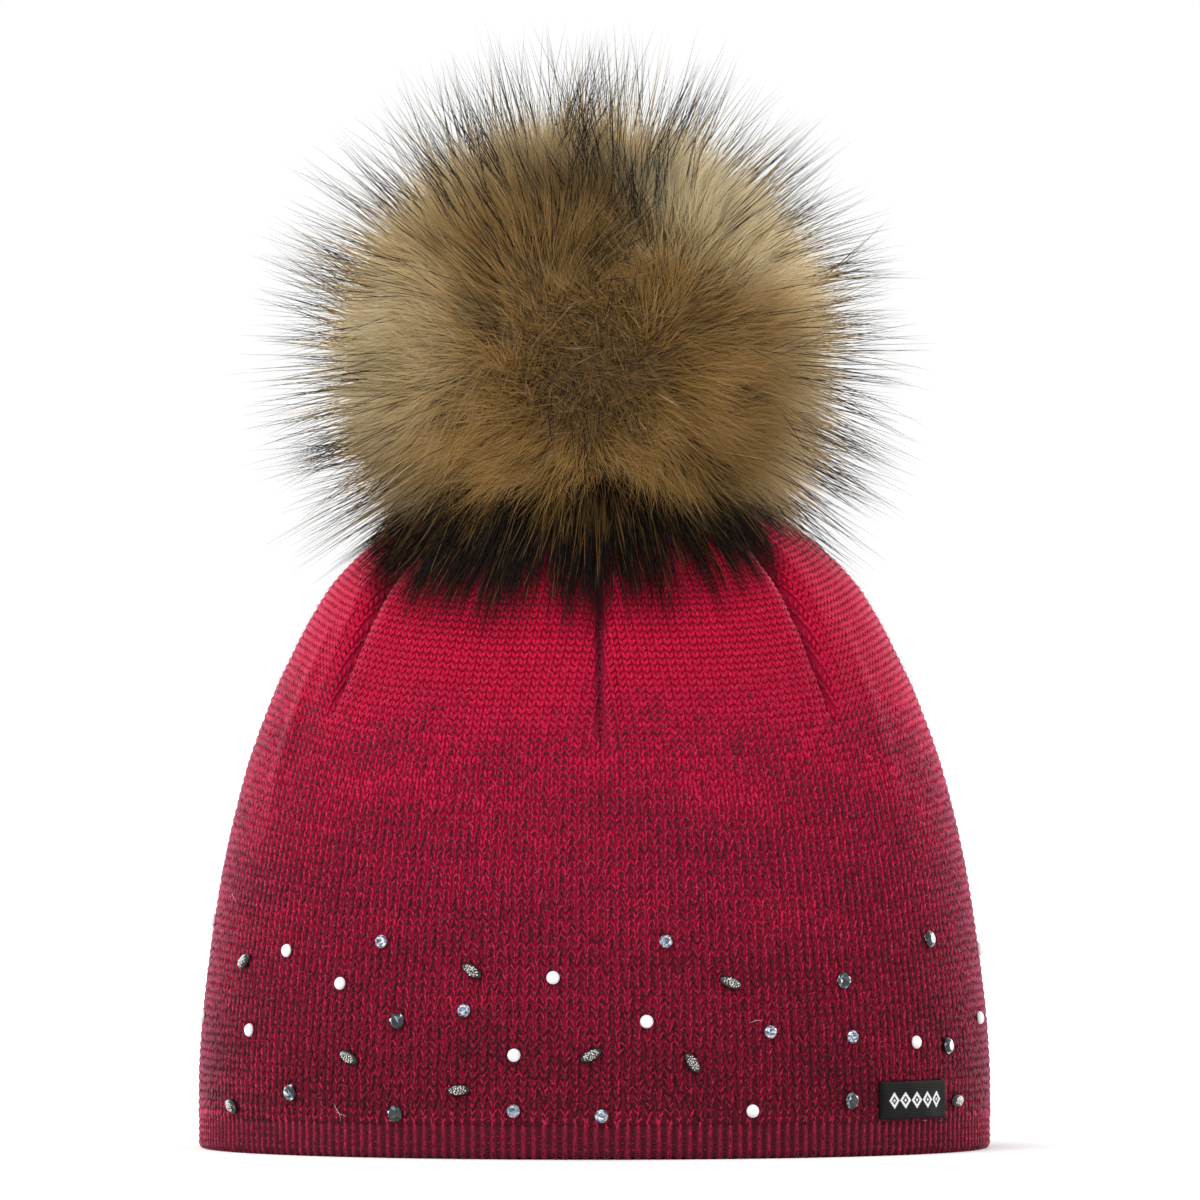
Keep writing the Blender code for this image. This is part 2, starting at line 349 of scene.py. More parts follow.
def point_cloud(name, points, marks, part=slice(None)):
    """A mesh of loose points, or of a part of them, with the numbers or vectors that they carry."""
    points = np.asarray(points[part], np.float32)
    mesh = bpy.data.meshes.new(name)
    mesh.vertices.add(len(points))
    mesh.vertices.foreach_set("co", points.ravel())
    for key, values in marks.items():
        write_numbers(mesh, key, values[part])
    return placed(name, mesh)


def new_tree(name, inputs):
    """A geometry tree with a geometry input, named inputs of the given kinds and one output."""
    tree = bpy.data.node_groups.new(name, "GeometryNodeTree")
    tree.interface.new_socket("Geometry", in_out="INPUT", socket_type="NodeSocketGeometry")
    for label, kind in inputs:
        tree.interface.new_socket(label, in_out="INPUT", socket_type="NodeSocket" + kind)
    tree.interface.new_socket("Geometry", in_out="OUTPUT", socket_type="NodeSocketGeometry")
    return tree, add(tree, "NodeGroupInput").node.outputs


def end_tree(tree, geometry, material):
    """Ends a tree in real, smooth, painted geometry."""
    real = add(tree, "GeometryNodeRealizeInstances", {0: geometry})
    smooth = add(tree, "GeometryNodeSetShadeSmooth", {0: real})
    painted = add(tree, "GeometryNodeSetMaterial", {0: smooth, "Material": material})
    add(tree, "NodeGroupOutput", {0: painted})


def grow(carrier, tree, values):
    """Runs a tree on an object and turns the result into the object's plain mesh."""
    modifier = carrier.modifiers.new(tree.name, "NODES")
    modifier.node_group = tree
    for item in tree.interface.items_tree:
        if item.in_out == "INPUT" and item.name in values:
            modifier[item.identifier] = values[item.name]
    bpy.context.view_layer.update()
    evaluated = carrier.evaluated_get(bpy.context.evaluated_depsgraph_get())
    mesh = bpy.data.meshes.new_from_object(evaluated)
    carrier.modifiers.remove(modifier)
    points = carrier.data
    carrier.data = mesh
    bpy.data.meshes.remove(points)
    return carrier


def unit(vectors):
    """The same directions, one unit long."""
    return vectors / np.maximum(np.linalg.norm(vectors, axis=-1, keepdims=True), 1e-9)


def drift(points, size, seed, waves=20):
    """Smooth random numbers of unit spread that change over about the given size in space."""
    chance = np.random.default_rng(seed)
    ways = unit(chance.normal(size=(waves, 3))) * (2 * np.pi / size) * chance.uniform(0.6, 1.3, (waves, 1))
    phases = chance.uniform(0, 2 * np.pi, waves)
    return np.cos(points @ ways.T + phases).sum(1) * math.sqrt(2 / waves)


def smooth_step(low, high, values):
    """0 at low and before it, 1 at high and past it, with a soft change between."""
    t = np.clip((values - low) / (high - low), 0, 1)
    return t * t * (3 - 2 * t)


# The cloth's surface
def smooth_outline():
    """The crown's outline as close rows of arc length, radius and height."""
    rows = [(share * RIM_RADIUS, CROWN_FOOT + height * CROWN_RISE) for height, share in CROWN_SECTIONS]
    rows = np.array(rows + [(SEAT_RADIUS, HAT_HEIGHT)])
    before = np.vstack([2 * rows[0] - rows[1], rows[:-1]])
    after = np.vstack([rows[1:], 2 * rows[-1] - rows[-2]])
    slopes = 0.5 * (after - before)
    fine = []
    for i in range(len(rows) - 1):
        t = np.linspace(0, 1, 24, endpoint=False)[:, None]
        fine.append((2 * t**3 - 3 * t**2 + 1) * rows[i] + (t**3 - 2 * t**2 + t) * slopes[i]
                    + (3 * t**2 - 2 * t**3) * rows[i + 1] + (t**3 - t**2) * slopes[i + 1])
    fine = np.vstack(fine + [rows[-1:]])
    arc = np.concatenate([[0], np.cumsum(np.linalg.norm(np.diff(fine, axis=0), axis=1))])
    return arc, fine[:, 0], fine[:, 1]


ARC, RADII, HEIGHTS = smooth_outline()


def turn_from(angle, middle):
    """Turn in degrees from a middle angle to others, between -180 and 180."""
    return (angle - middle + 180.0) % 360.0 - 180.0


def round_hat(turn, radius, z):
    """Points round the hat from angles in radians, radii and heights."""
    return np.stack([radius * np.sin(turn), -radius * np.cos(turn), z], axis=-1)


def cloth_relief(angle, radius, share):
    """How far darts pull the cloth in and seam allowances and folds lift it, at angles in degrees."""
    relief = np.zeros_like(angle)
    for dart_angle, foot, depth, ridge in DARTS:
        arc = np.radians(turn_from(angle, dart_angle)) * radius
        grown = np.clip((share - foot) / (DART_FULL - foot), 0.0, 1.0)
        crease = np.clip(1.0 - np.abs(arc) / DART_REACH, 0.0, 1.0) ** 2
        relief -= DART_DEPTH * depth * grown * crease * np.minimum(radius / (0.5 * RIM_RADIUS), 1.0)
        bump = np.clip(1.0 - np.abs(arc - ridge * RIDGE_OFFSET) / RIDGE_OFFSET, 0.0, 1.0)
        relief += RIDGE_RISE * abs(ridge) * 4.0 * grown * (1.0 - grown) * bump
        sharp = smooth_step(foot, foot + CREASE_FADE, share) * depth
        relief -= CREASE_DEPTH * sharp * np.exp(-(arc / CREASE_HALF_WIDTH) ** 2)
        chain = (arc - (ridge or 1) * CHAIN_OFFSET) / CHAIN_HALF_WIDTH
        relief += CHAIN_RISE * sharp * np.exp(-chain ** 2)
    for fold_angle, height, half_width, half_height, rise in FOLDS:
        arc = np.radians(turn_from(angle, fold_angle)) * radius
        climb = (share - height) * CROWN_RISE
        relief += rise * np.exp(-(arc / half_width) ** 2 - (climb / half_height) ** 2)
    return relief


def cloth_point(angle, arc, lift=0.0):
    """Points of the cap's outer surface, lifted along the outline's outward direction."""
    radius = np.interp(arc, ARC, RADII)
    z = np.interp(arc, ARC, HEIGHTS)
    step = 0.0008
    run = np.interp(arc + step, ARC, RADII) - np.interp(arc - step, ARC, RADII)
    climb = np.interp(arc + step, ARC, HEIGHTS) - np.interp(arc - step, ARC, HEIGHTS)
    length = np.hypot(run, climb)
    relief = cloth_relief(angle, radius, (z - CROWN_FOOT) / CROWN_RISE) + lift
    radius = radius + relief * climb / length
    z = z - relief * run / length
    return round_hat(np.radians(angle), radius, z)


def cloth_frame(angle, arc):
    """Surface points with their outward, up-the-cloth and sideways directions."""
    here = cloth_point(angle, arc)
    side = unit(cloth_point(angle + 0.4, arc) - cloth_point(angle - 0.4, arc))
    up = unit(cloth_point(angle, arc + 0.0006) - cloth_point(angle, arc - 0.0006))
    return here, unit(np.cross(side, up)), up, side


def sagged(course, angle):
    """Arc length of a course at an angle: the courses hang lower at the front and the back."""
    sag = COURSE_SAG * np.clip(course / COURSE_SAG_HEIGHT, 0.0, 1.0)
    return course + sag * np.sin(np.radians(angle)) ** 4


def panels():
    """Start angle, span and number of knit columns from each dart to the next."""
    starts = [dart[0] for dart in DARTS]
    for start, end in zip(starts, starts[1:] + starts[:1]):
        span = (end - start) % 360.0
        yield start, span, round(WALES * span / 360.0)


def wale_angles():
    """Angles of the knit's columns at the cap's foot, shared out evenly between the darts."""
    return np.concatenate([start + (np.arange(wales) + 0.5) / wales * span
                           for start, span, wales in panels()])


def loops_of_cap():
    """Angle, course and side (-1 or 1) of every half loop of the cap, in columns cut by the darts."""
    loops = []
    foot_radius = np.interp(0.57 * CROWN_RISE + CROWN_FOOT, HEIGHTS, RADII)
    for start, span, wales in panels():
        place = np.arange(wales) + 0.5 - 0.5 * wales
        for course in np.arange(0.5 * COURSE_PITCH, ARC[-1], COURSE_PITCH):
            radius = np.interp(course, ARC, RADII)
            if radius < STITCH_TOP_RADIUS * RIM_RADIUS:
                break
            half = 0.5 * wales * min(radius / foot_radius, 1.0)
            spread = np.interp(course, *zip(*LOOP_SPREAD))
            for side in (-1, 1):
                lateral = place + spread * side
                kept = lateral[np.abs(lateral) < half - 0.1]
                if half < 0.5 * wales - 0.1:
                    kept = np.append(kept, side * (half - 0.12))
                angle = start + 0.5 * span + kept / half * 0.5 * span
                loops.append(np.stack([angle, 0 * kept + course, 0 * kept + side]))
    return np.concatenate(loops, axis=1)


def dark_share(here, course, chance):
    """How much of each half loop is dark yarn: none on the crown, most of it near the hem."""
    share = np.interp(course, *zip(*DARK_SHARE))
    cloud = 0.055 * drift(here * (1, 1, 1.8), 0.030, 31) + 0.030 * drift(here * (1, 1, 2.5), 0.008, 32)
    rows = np.random.default_rng(33).normal(0, 0.030, 400)[(course / COURSE_PITCH).astype(int)]
    share = share + (cloud + rows + chance.normal(0, 0.08, len(course))) * smooth_step(0.0, 0.20, share)
    return np.clip(share, 0, 1)


def stitch_tree(leg):
    """Sets one half loop of yarn on every point, turned along it and plumped by it."""
    tree, given = new_tree("knit_half_loops", (("Length", "Float"), ("Width", "Float"),
                                               ("Rise", "Float"), ("Yarn", "Material")))
    out, along = [add(tree, "GeometryNodeInputNamedAttribute", {"Name": name}, data_type="FLOAT_VECTOR")
                  for name in ("out", "along")]
    thick, plump = [add(tree, "GeometryNodeInputNamedAttribute", {"Name": name}, data_type="FLOAT")
                    for name in ("thick", "plump")]
    turn = add(tree, "FunctionNodeAxesToRotation", {"Primary Axis": out, "Secondary Axis": along},
               primary_axis="Z", secondary_axis="Y")
    width = add(tree, "ShaderNodeMath", {0: given["Width"], 1: thick}, operation="MULTIPLY")
    size = add(tree, "ShaderNodeCombineXYZ", {0: width, 1: given["Length"], 2: given["Rise"]})
    plumped = add(tree, "ShaderNodeVectorMath", {0: size, "Scale": plump}, operation="SCALE")
    shape = add(tree, "GeometryNodeObjectInfo", {"Object": leg}, "Geometry")
    loops = add(tree, "GeometryNodeInstanceOnPoints",
                {"Points": given["Geometry"], "Instance": shape, "Rotation": turn, "Scale": plumped})
    end_tree(tree, loops, given["Yarn"])
    return tree


def half_loop():
    """A grain of yarn one unit long, wide and high: pointed ends, a crest and a flat underside."""
    points = [(0, -0.5, 0), (0, 0.5, 0), (-0.5, 0, 0), (0.5, 0, 0), (0, 0, 1.0)]
    faces = [(0, 3, 4), (3, 1, 4), (1, 2, 4), (2, 0, 4), (0, 2, 3), (2, 1, 3)]
    leg = mesh_object("half_loop", points, faces)
    write_numbers(leg.data, "leg", [0.0, 1.0, 0.5, 0.5, 0.5])
    write_numbers(leg.data, "flank", [0.0, 0.0, -1.0, 1.0, 0.0])
    return leg


def seam_share(angle, course, offset, half_width):
    """1 on a line beside or in each dart's crease, 0 away from it."""
    radius = np.interp(course, ARC, RADII)
    share = (np.interp(course, ARC, HEIGHTS) - CROWN_FOOT) / CROWN_RISE
    seam = np.zeros_like(angle)
    for dart_angle, foot, _, ridge in DARTS:
        arc = np.radians(turn_from(angle, dart_angle)) * radius
        beside = np.exp(-((arc - (ridge or 1) * offset) / half_width) ** 2)
        seam = np.maximum(seam, beside * smooth_step(foot, foot + SEAM_FADE, share))
    return seam


def cap_stitches(tree, yarn):
    """The cap's knit face: every half loop as its own grain of yarn, in two pieces."""
    chance = np.random.default_rng(3)
    angle, course, side = loops_of_cap()
    loose = smooth_step(0.100, 0.070, course)
    arc = sagged(course, angle) + chance.normal(0, 1, len(angle)) * (0.00007 + 0.00016 * loose)
    angle = angle + chance.normal(0, 0.10, len(angle)) * loose
    here, out, up, across = cloth_frame(angle, arc)
    tilt = LOOP_TILT - 10 * loose + chance.normal(0, 1, len(angle)) * (4 + 5 * loose)
    tilt = np.radians(tilt) * side
    along = up * np.cos(tilt)[:, None] + across * np.sin(tilt)[:, None]
    seam = seam_share(angle, course, CHAIN_OFFSET, CHAIN_HALF_WIDTH)
    plump = np.clip(chance.normal(1.0, 0.06, len(angle)), 0.8, 1.2) * (1 + 0.08 * seam)
    # Loops in the darts' creases get a dark share as painted shade, drawn like the dark yarn
    crease_painted_shade = CREASE_PAINTED_SHADE_SHARE * seam_share(angle, course, 0.0, CREASE_PAINTED_SHADE_HALF_WIDTH)
    dark = np.maximum(dark_share(here, course, chance), crease_painted_shade)
    here = here - out * (0.00025 - 0.0001 * seam)[:, None]
    broad = cloth_point(angle + BROAD_TURN, arc) - cloth_point(angle - BROAD_TURN, arc)
    out = unit(0.4 * out + 0.6 * unit(np.cross(broad, up)))
    marks = {"along": along, "out": out, "plump": plump, "dark": dark, "course": course / ARC[-1],
             "side": side, "thick": 1.10 - 0.10 * loose}
    lower = course < np.median(course)
    pieces = []
    for name, part in (("knit_loops_lower", lower), ("knit_loops_upper", ~lower)):
        cloud = point_cloud(name, here, marks, part)
        pieces.append(grow(cloud, tree, {**CAP_LOOP, "Yarn": yarn}))
    return pieces


def wool_yarn():
    """Wool-blend yarn, ring spun: matt crimson plied with dark thread, its loose fibre a pale halo, with
    pale pink painted highlights where the fibre noise is high.

    Its single fibres are too fine to show and are drawn as tufts 0.4 mm wide, with flecks of 0.7 mm
    and blotches of 1.1 mm where the dark thread is uneven.
    """
    material, tree, shader = new_finish("wool_blend_yarn", Roughness=0.95, Sheen_Weight=1.0,
                                        Sheen_Roughness=0.33, Sheen_Tint=linear("#FF98B4"),
                                        Specular_IOR_Level=0.08)
    place = add(tree, "ShaderNodeTexCoord", output="Object")
    leg, flank, side, dark, course = [add(tree, "ShaderNodeAttribute", output="Fac", attribute_name=mark)
                                      for mark in ("leg", "flank", "side", "dark", "course")]
    fibre, fleck, blotch = [
        add(tree, "ShaderNodeTexNoise", {"Vector": place, "Scale": cells * PER_MM, "Detail": detail}, "Fac")
        for cells, detail in ((2.6, 3.0), (1.4, 2.0), (0.9, 1.0))]

    # The dark thread on a half loop: a ragged ellipse towards the outer flank, larger with its dark share,
    # which in the darts' creases is painted shade
    half_length = add(tree, "ShaderNodeMath", {0: dark, 1: 0.45, 2: 0.08}, operation="MULTIPLY_ADD")
    half_width = add(tree, "ShaderNodeMath", {0: dark, 1: 0.46, 2: 0.28}, operation="MULTIPLY_ADD")
    off_middle = add(tree, "ShaderNodeMath", {0: leg, 1: 0.47}, operation="SUBTRACT")
    off_outer = add(tree, "ShaderNodeMath", {0: flank, 1: side, 2: -0.22}, operation="MULTIPLY_ADD")
    along = add(tree, "ShaderNodeMath", {0: off_middle, 1: half_length}, operation="DIVIDE")
    aside = add(tree, "ShaderNodeMath", {0: off_outer, 1: half_width}, operation="DIVIDE")
    distance = -0.5 * (FLECK_RAGGEDNESS + BLOTCH_RAGGEDNESS)
    for first, second in ((fleck, FLECK_RAGGEDNESS), (blotch, BLOTCH_RAGGEDNESS), (aside, aside),
                          (along, along)):
        distance = add(tree, "ShaderNodeMath", {0: first, 1: second, 2: distance}, operation="MULTIPLY_ADD")
    dot = add(tree, "ShaderNodeMapRange", {"Value": distance, "From Min": 0.7, "From Max": 1.3,
                                           "To Min": 1.0, "To Max": 0.0})
    plied = add(tree, "ShaderNodeMath", {0: dark, 1: 5.0}, operation="MULTIPLY", use_clamp=True)
    mixing = add(tree, "ShaderNodeMath", {0: dot, 1: plied}, operation="MULTIPLY")

    light, pale, deep = [add(tree, "ShaderNodeValToRGB", {0: course}, stops=stops) for stops in (
        ((0.0, "#B41C3E"), (0.12, "#BA1A3E"), (0.30, "#C21640"), (0.55, "#BE0E38"), (1.0, "#C00A30")),
        ((0.0, "#B85068"), (0.3, "#D05078"), (0.7, "#D42C50")),
        ((0.0, "#421820"), (0.25, "#4A1A25"), (0.5, "#5A202E")))]
    # Pale pink mixed in where the fibre noise is high: pale loose fibre, and painted highlight on it
    pale_fibre_and_painted_highlight, worn = [add(tree, "ShaderNodeMapRange", {"Value": fibre, "From Min": low, "From Max": high,
                                                   "To Min": least, "To Max": most})
                  for low, high, least, most in ((0.52, 0.75, 0.0, 0.6), (0.3, 0.7, 0.74, 1.14))]
    fibred = add(tree, "ShaderNodeMix", {0: pale_fibre_and_painted_highlight, 6: light, 7: pale}, 2, data_type="RGBA")
    dyed = add(tree, "ShaderNodeMix", {0: mixing, 6: fibred, 7: deep}, 2, data_type="RGBA")
    shaded = add(tree, "ShaderNodeVectorMath", {0: dyed, "Scale": worn}, operation="SCALE")
    bump = add(tree, "ShaderNodeBump", {"Height": fibre, "Strength": 0.5, "Distance": 0.00015,
                                        "Normal": softened_normal(tree, "out", 0.78)})
    tree.links.new(shaded, shader.inputs["Base Color"])
    tree.links.new(bump, shader.inputs["Normal"])
    return material


def ground_yarn_painted_shade():
    """The yarn at the back of the cloth, matt, seen as dots between the loops: dark yarn at the foot, and
    above it a crimson darkened as painted shade in the gaps.
    """
    # Crimson darker than the loops' own, as painted shade between them
    stops = ((0.0, "#4C1420"), (0.05, "#6E0E26"), (0.35, "#7E0A28"), (0.52, "#8E0A2C"), (1.0, "#980A2E"))
    return plain_finish("ground_yarn_painted_shade", stops, mark="course", Roughness=0.95, Specular_IOR_Level=0.1)


def cap_shell(material):
    """The cap's wall under the loops: outer side, top, inner side and open foot in one closed skin."""
    near_darts = [dart[0] + offset for dart in DARTS
                  for offset in (-1.1, -0.7, -0.4, -0.2, 0, 0.2, 0.4, 0.7, 1.1)]
    columns = np.unique(np.concatenate([np.arange(0, 360, 1.5), near_darts]) % 360.0)
    rows = np.concatenate([np.arange(0, ARC[-1] - 0.002, 0.0032), [ARC[-1]]])
    angle, arc = np.meshgrid(columns, rows)
    outer, inner = [cloth_point(angle.ravel(), arc.ravel(), lift).reshape(*angle.shape, 3)
                    for lift in (-0.00030, -KNIT_WALL)]
    rings = np.concatenate([inner[::-1], outer])
    heights = np.concatenate([rows[::-1], rows]) / ARC[-1]
    n_rings, n_columns = rings.shape[:2]
    middles = [(0, 0, inner[-1, :, 2].mean()), (0, 0, outer[-1, :, 2].mean())]
    shell = mesh_object("knit_shell", list(rings.reshape(-1, 3)) + middles,
                        lathe_faces(n_rings, n_columns), material)
    write_numbers(shell.data, "course", list(np.repeat(heights, n_columns)) + [1.0, 1.0])
    return shell


def rib_yarn():
    """The same yarn in the 1x1 rib: each rib's crest crimson, the valleys between nearly all dark.

    Its fibres are too fine to show and are drawn as flecks 0.7 mm wide.
    """
    material, tree, shader = new_finish("rib_yarn", Roughness=0.95, Sheen_Weight=0.4, Sheen_Roughness=0.25,
                                        Sheen_Tint=linear("#F6B8C6"), Specular_IOR_Level=0.08)
    place = add(tree, "ShaderNodeTexCoord", output="Object")
    crest = add(tree, "ShaderNodeAttribute", output="Fac", attribute_name="crest")
    fleck = add(tree, "ShaderNodeTexNoise", {"Vector": place, "Scale": 1.5 * PER_MM, "Detail": 3.0}, "Fac")
    shaken = add(tree, "ShaderNodeMath", {0: fleck, 1: 1.3, 2: -0.65}, operation="MULTIPLY_ADD")
    level = add(tree, "ShaderNodeMath", {0: crest, 1: shaken}, operation="ADD")
    tint = add(tree, "ShaderNodeValToRGB", {0: level},
               stops=((0.0, "#441420"), (0.55, "#5A1626"), (0.95, "#841832")))
    bump = add(tree, "ShaderNodeBump", {"Height": fleck, "Strength": 0.7, "Distance": 0.0003})
    tree.links.new(tint, shader.inputs["Base Color"])
    tree.links.new(bump, shader.inputs["Normal"])
    return material


def rib_hem(material):
    """The 1x1 ribbed band: one raised rib to a wale, with a scalloped lower edge."""
    per_rib = 6
    wales = wale_angles()
    columns = np.arange(len(wales) * per_rib) / per_rib
    crest = 0.5 + 0.5 * np.cos(2 * np.pi * columns)
    angle = np.radians(np.interp(columns, np.arange(len(wales) + 1), np.append(wales, wales[0] + 360.0)))
    inside = RIM_RADIUS - HEM_WALL
    section = (
        # radius, height, share of the rib's depth (below zero on the inside), share of the scallop
        (RIM_RADIUS, HEM_HEIGHT + GAP, 0.7, 0),
        (RIM_RADIUS, 0.78 * HEM_HEIGHT, 1, 0),
        (RIM_RADIUS, 0.50 * HEM_HEIGHT, 1, 0),
        (RIM_RADIUS, 0.24 * HEM_HEIGHT, 1, 0),
        (RIM_RADIUS - 0.0001, 0.0010, 1, 0.3),
        (RIM_RADIUS - 0.0005, 0.0002, 1, 0.8),
        (RIM_RADIUS - 0.0012, 0.0, 0.6, 1),
        (inside + 0.0008, 0.0, -0.3, 1),
        (inside + 0.0002, 0.0004, -0.6, 0.6),
        (inside, 0.0016, -1, 0),
        (inside, HEM_HEIGHT + GAP, -1, 0),
    )
    rings = []
    for radius, z, rib, edge in section:
        pulled = RIB_DEPTH * rib * ((1 - crest) if rib > 0 else 0.7 * crest)
        rings.append(round_hat(angle, radius - pulled, z + RIB_SCALLOP * edge * (1 - crest)))
    n_rings, n_columns = len(rings), len(columns)
    faces = []
    for i in range(n_rings):
        low, high = i * n_columns, (i + 1) % n_rings * n_columns
        for j in range(n_columns):
            k = (j + 1) % n_columns
            faces.append((low + j, high + j, high + k, low + k))
    hem = mesh_object("rib_band", np.vstack(rings), faces, material)
    write_numbers(hem.data, "crest", np.tile(crest ** 1.5, n_rings))
    return hem


def hem_stitches(tree, yarn):
    """A column of crimson loops down every rib, and dark purl bumps across every valley."""
    chance = np.random.default_rng(5)
    rows = np.arange(0.0014, HEM_HEIGHT + 0.0004, 0.0015)
    turn, z, rib = [g.ravel() for g in np.meshgrid(wale_angles(), rows, (1, 0))]
    half_wale = 180.0 / WALES
    angle = np.radians(turn + (1 - rib) * half_wale + chance.normal(0, 0.04, len(z)))
    out = round_hat(angle, 1.0, 0 * z)
    across = np.stack([np.cos(angle), np.sin(angle), 0 * z], -1)
    up = np.array([0, 0, 1.0])
    tilt = np.radians(np.where(rib, chance.normal(0, 9, len(z)), chance.normal(90, 12, len(z))))
    along = up * np.cos(tilt)[:, None] + across * np.sin(tilt)[:, None]
    depth = np.where(rib, 0.0003, 0.00065)
    here = out * (RIM_RADIUS - depth)[:, None] + up * (z + (1 - rib) * 0.0006)[:, None]
    worn = 0.16 + 0.55 * (1 - z / HEM_HEIGHT) + 0.10 * drift(here, 0.012, 34)
    worn += chance.normal(0, 0.20, len(z))
    dark = np.where(rib, np.clip(worn, 0, 1), chance.uniform(0.5, 1, len(z)))
    cloud = point_cloud("rib_loops", here, {
        "along": along, "out": out, "dark": dark, "course": z * 0, "thick": z * 0 + 1,
        "side": chance.choice((-1, 1), len(z)),
        "plump": np.where(rib, 1.0, 0.95) * chance.normal(1, 0.08, len(z))})
    return grow(cloud, tree, {**RIB_LOOP, "Yarn": yarn})


# Fur
def even_directions(count, chance, jitter=0.5):
    """Directions spread evenly over a ball, shaken a little."""
    k = np.arange(count) + 0.5
    z = 1 - 2 * k / count
    turn = np.pi * (1 + 5 ** 0.5) * k
    ring = np.sqrt(1 - z * z)
    even = np.stack([ring * np.cos(turn), ring * np.sin(turn), z], -1)
    return unit(even + chance.normal(0, jitter * np.sqrt(4 / count), even.shape))


def crown_gap(points):
    """Signed distance of points from the cap's outline, and the outward direction there."""
    radius = np.hypot(points[:, 0], points[:, 1])
    rows = np.arange(0, len(ARC), 4)
    outline = np.stack([RADII[rows], HEIGHTS[rows]], -1)
    slope = np.gradient(outline, axis=0)
    normals = unit(np.stack([slope[:, 1], -slope[:, 0]], -1))
    here = np.stack([radius, points[:, 2]], -1)
    nearest = np.argmin(((here[:, None, :] - outline[None]) ** 2).sum(-1), axis=1)
    gap = ((here - outline[nearest]) * normals[nearest]).sum(-1)
    top = radius < SEAT_RADIUS
    gap = np.where(top, points[:, 2] - HAT_HEIGHT, gap)
    safe = np.maximum(radius, 1e-6)
    flat = np.where(top, 0.0, normals[nearest][:, 0])
    rise = np.where(top, 1.0, normals[nearest][:, 1])
    return gap, np.stack([flat * points[:, 0] / safe, flat * points[:, 1] / safe, rise], -1)


def clumps_of(normal, clumps):
    """The clump that each hair belongs to, with the clumps' own directions."""
    axes = even_directions(clumps, np.random.default_rng(clumps), 0.9).astype(np.float32)
    batches = np.array_split(normal.astype(np.float32), range(HAIR_BATCH, len(normal), HAIR_BATCH))
    return axes, np.concatenate([np.argmax(batch @ axes.T, axis=1) for batch in batches])


def fur_normals(count, chance):
    """Even directions over the ball, without those whose roots would be in the cap."""
    normal = even_directions(count, chance)
    return normal[crown_gap(POMPOM_CENTRE + normal * CORE_RADIUS)[0] > 0]


def guard_normals(count, chance):
    """Directions of guard hairs: few round the whorl, many at the sides and at the dark top."""
    normal = fur_normals(count, chance)
    facing = normal @ unit(WHORL)
    top = 0.6 * smooth_step(0.72, 0.93, normal @ unit(DARK_TOP))
    keep = np.maximum(0.75 * smooth_step(0.80, 0.20, facing), top)
    keep = np.maximum(keep, 0.7 * smooth_step(0.952, 0.975, facing))
    keep = np.maximum(keep, smooth_step(0.950, 0.985, normal @ unit(DARK_STREAK)))
    keep *= 1 - 0.8 * smooth_step(0.45, 0.60, -normal[:, 2]) * smooth_step(0.0, 0.5, -normal[:, 1])
    return normal[chance.random(len(normal)) < 0.02 + 0.98 * keep]


def draped_strands(count, chance, clumps):
    """Hairs that hang from the ball's lower side and lie on the cap in pointed tufts."""
    normal = fur_normals(count, chance)
    normal = normal[-normal[:, 2] > chance.uniform(0.55, 0.66, len(normal))]
    front = smooth_step(0.92, 0.995, -unit(normal[:, :2])[:, 1])
    count = len(normal)
    axes, owner = clumps_of(normal, clumps)
    clump_chance = np.random.default_rng(clumps + 7)
    clump_length, clump_tone = clump_chance.normal(0, 1, (2, clumps))[:, owner]
    root = POMPOM_CENTRE + normal * CORE_RADIUS * chance.uniform(0.93, 1.0, (count, 1))
    knot = POMPOM_CENTRE + axes[owner] * CORE_RADIUS
    own, shared = [np.arctan2(p[:, 0], -p[:, 1]) for p in (root, knot)]
    apart = (shared - own + np.pi) % (2 * np.pi) - np.pi
    angle = np.degrees(own + 0.30 * apart) + 1.2 * clump_tone + chance.normal(0, 2.6, count)
    lowest = np.interp(np.abs(turn_from(angle, DRAPE_MIDDLE)), *zip(*DRAPE_EDGE))
    share = np.clip(0.40 + 0.18 * clump_length + chance.normal(0, 0.26, count), 0, 1.3)
    arc = np.interp(lowest + DRAPE_SPREAD * share, HEIGHTS, ARC)
    lift = FUR_CLEARANCE + 0.0050 * chance.random(count) ** 2
    chord = cloth_point(angle, arc, lift) - root
    arch = normal * ((0.30 - 0.08 * front) * np.linalg.norm(chord, axis=1))[:, None]
    for _ in range(4):
        for t in (0.3, 0.6, 0.8):
            gap, out = crown_gap(root + chord * t + arch * t * (1 - t))
            arch += out * (np.clip(FUR_CLEARANCE - gap, 0, None) / (t * (1 - t)))[:, None]
    ball = unit(normal + unit(root + chord - POMPOM_CENTRE))
    left = smooth_step(-18.0, -36.0, angle) * smooth_step(-100.0, -70.0, angle)
    brown = chance.random(count) < 0.40 + 0.35 * left
    tone = chance.normal(0.40, 0.08, count) + 0.06 * clump_tone + 0.24 * left + 0.34 * front
    tone = np.clip(tone, 0.2, 0.9)
    # Draped hairs black from the root or partway: black hair, and painted shade under the ball
    black_from = np.where(brown, chance.uniform(0.1, 0.7, count), 0.0)
    black_from = np.maximum(black_from, front * chance.uniform(0.15, 0.34, count))
    return dict(root=root, run=chord + arch, bend=-arch, ball=ball, tone=tone,
                pale=np.zeros(count), black_from=black_from)


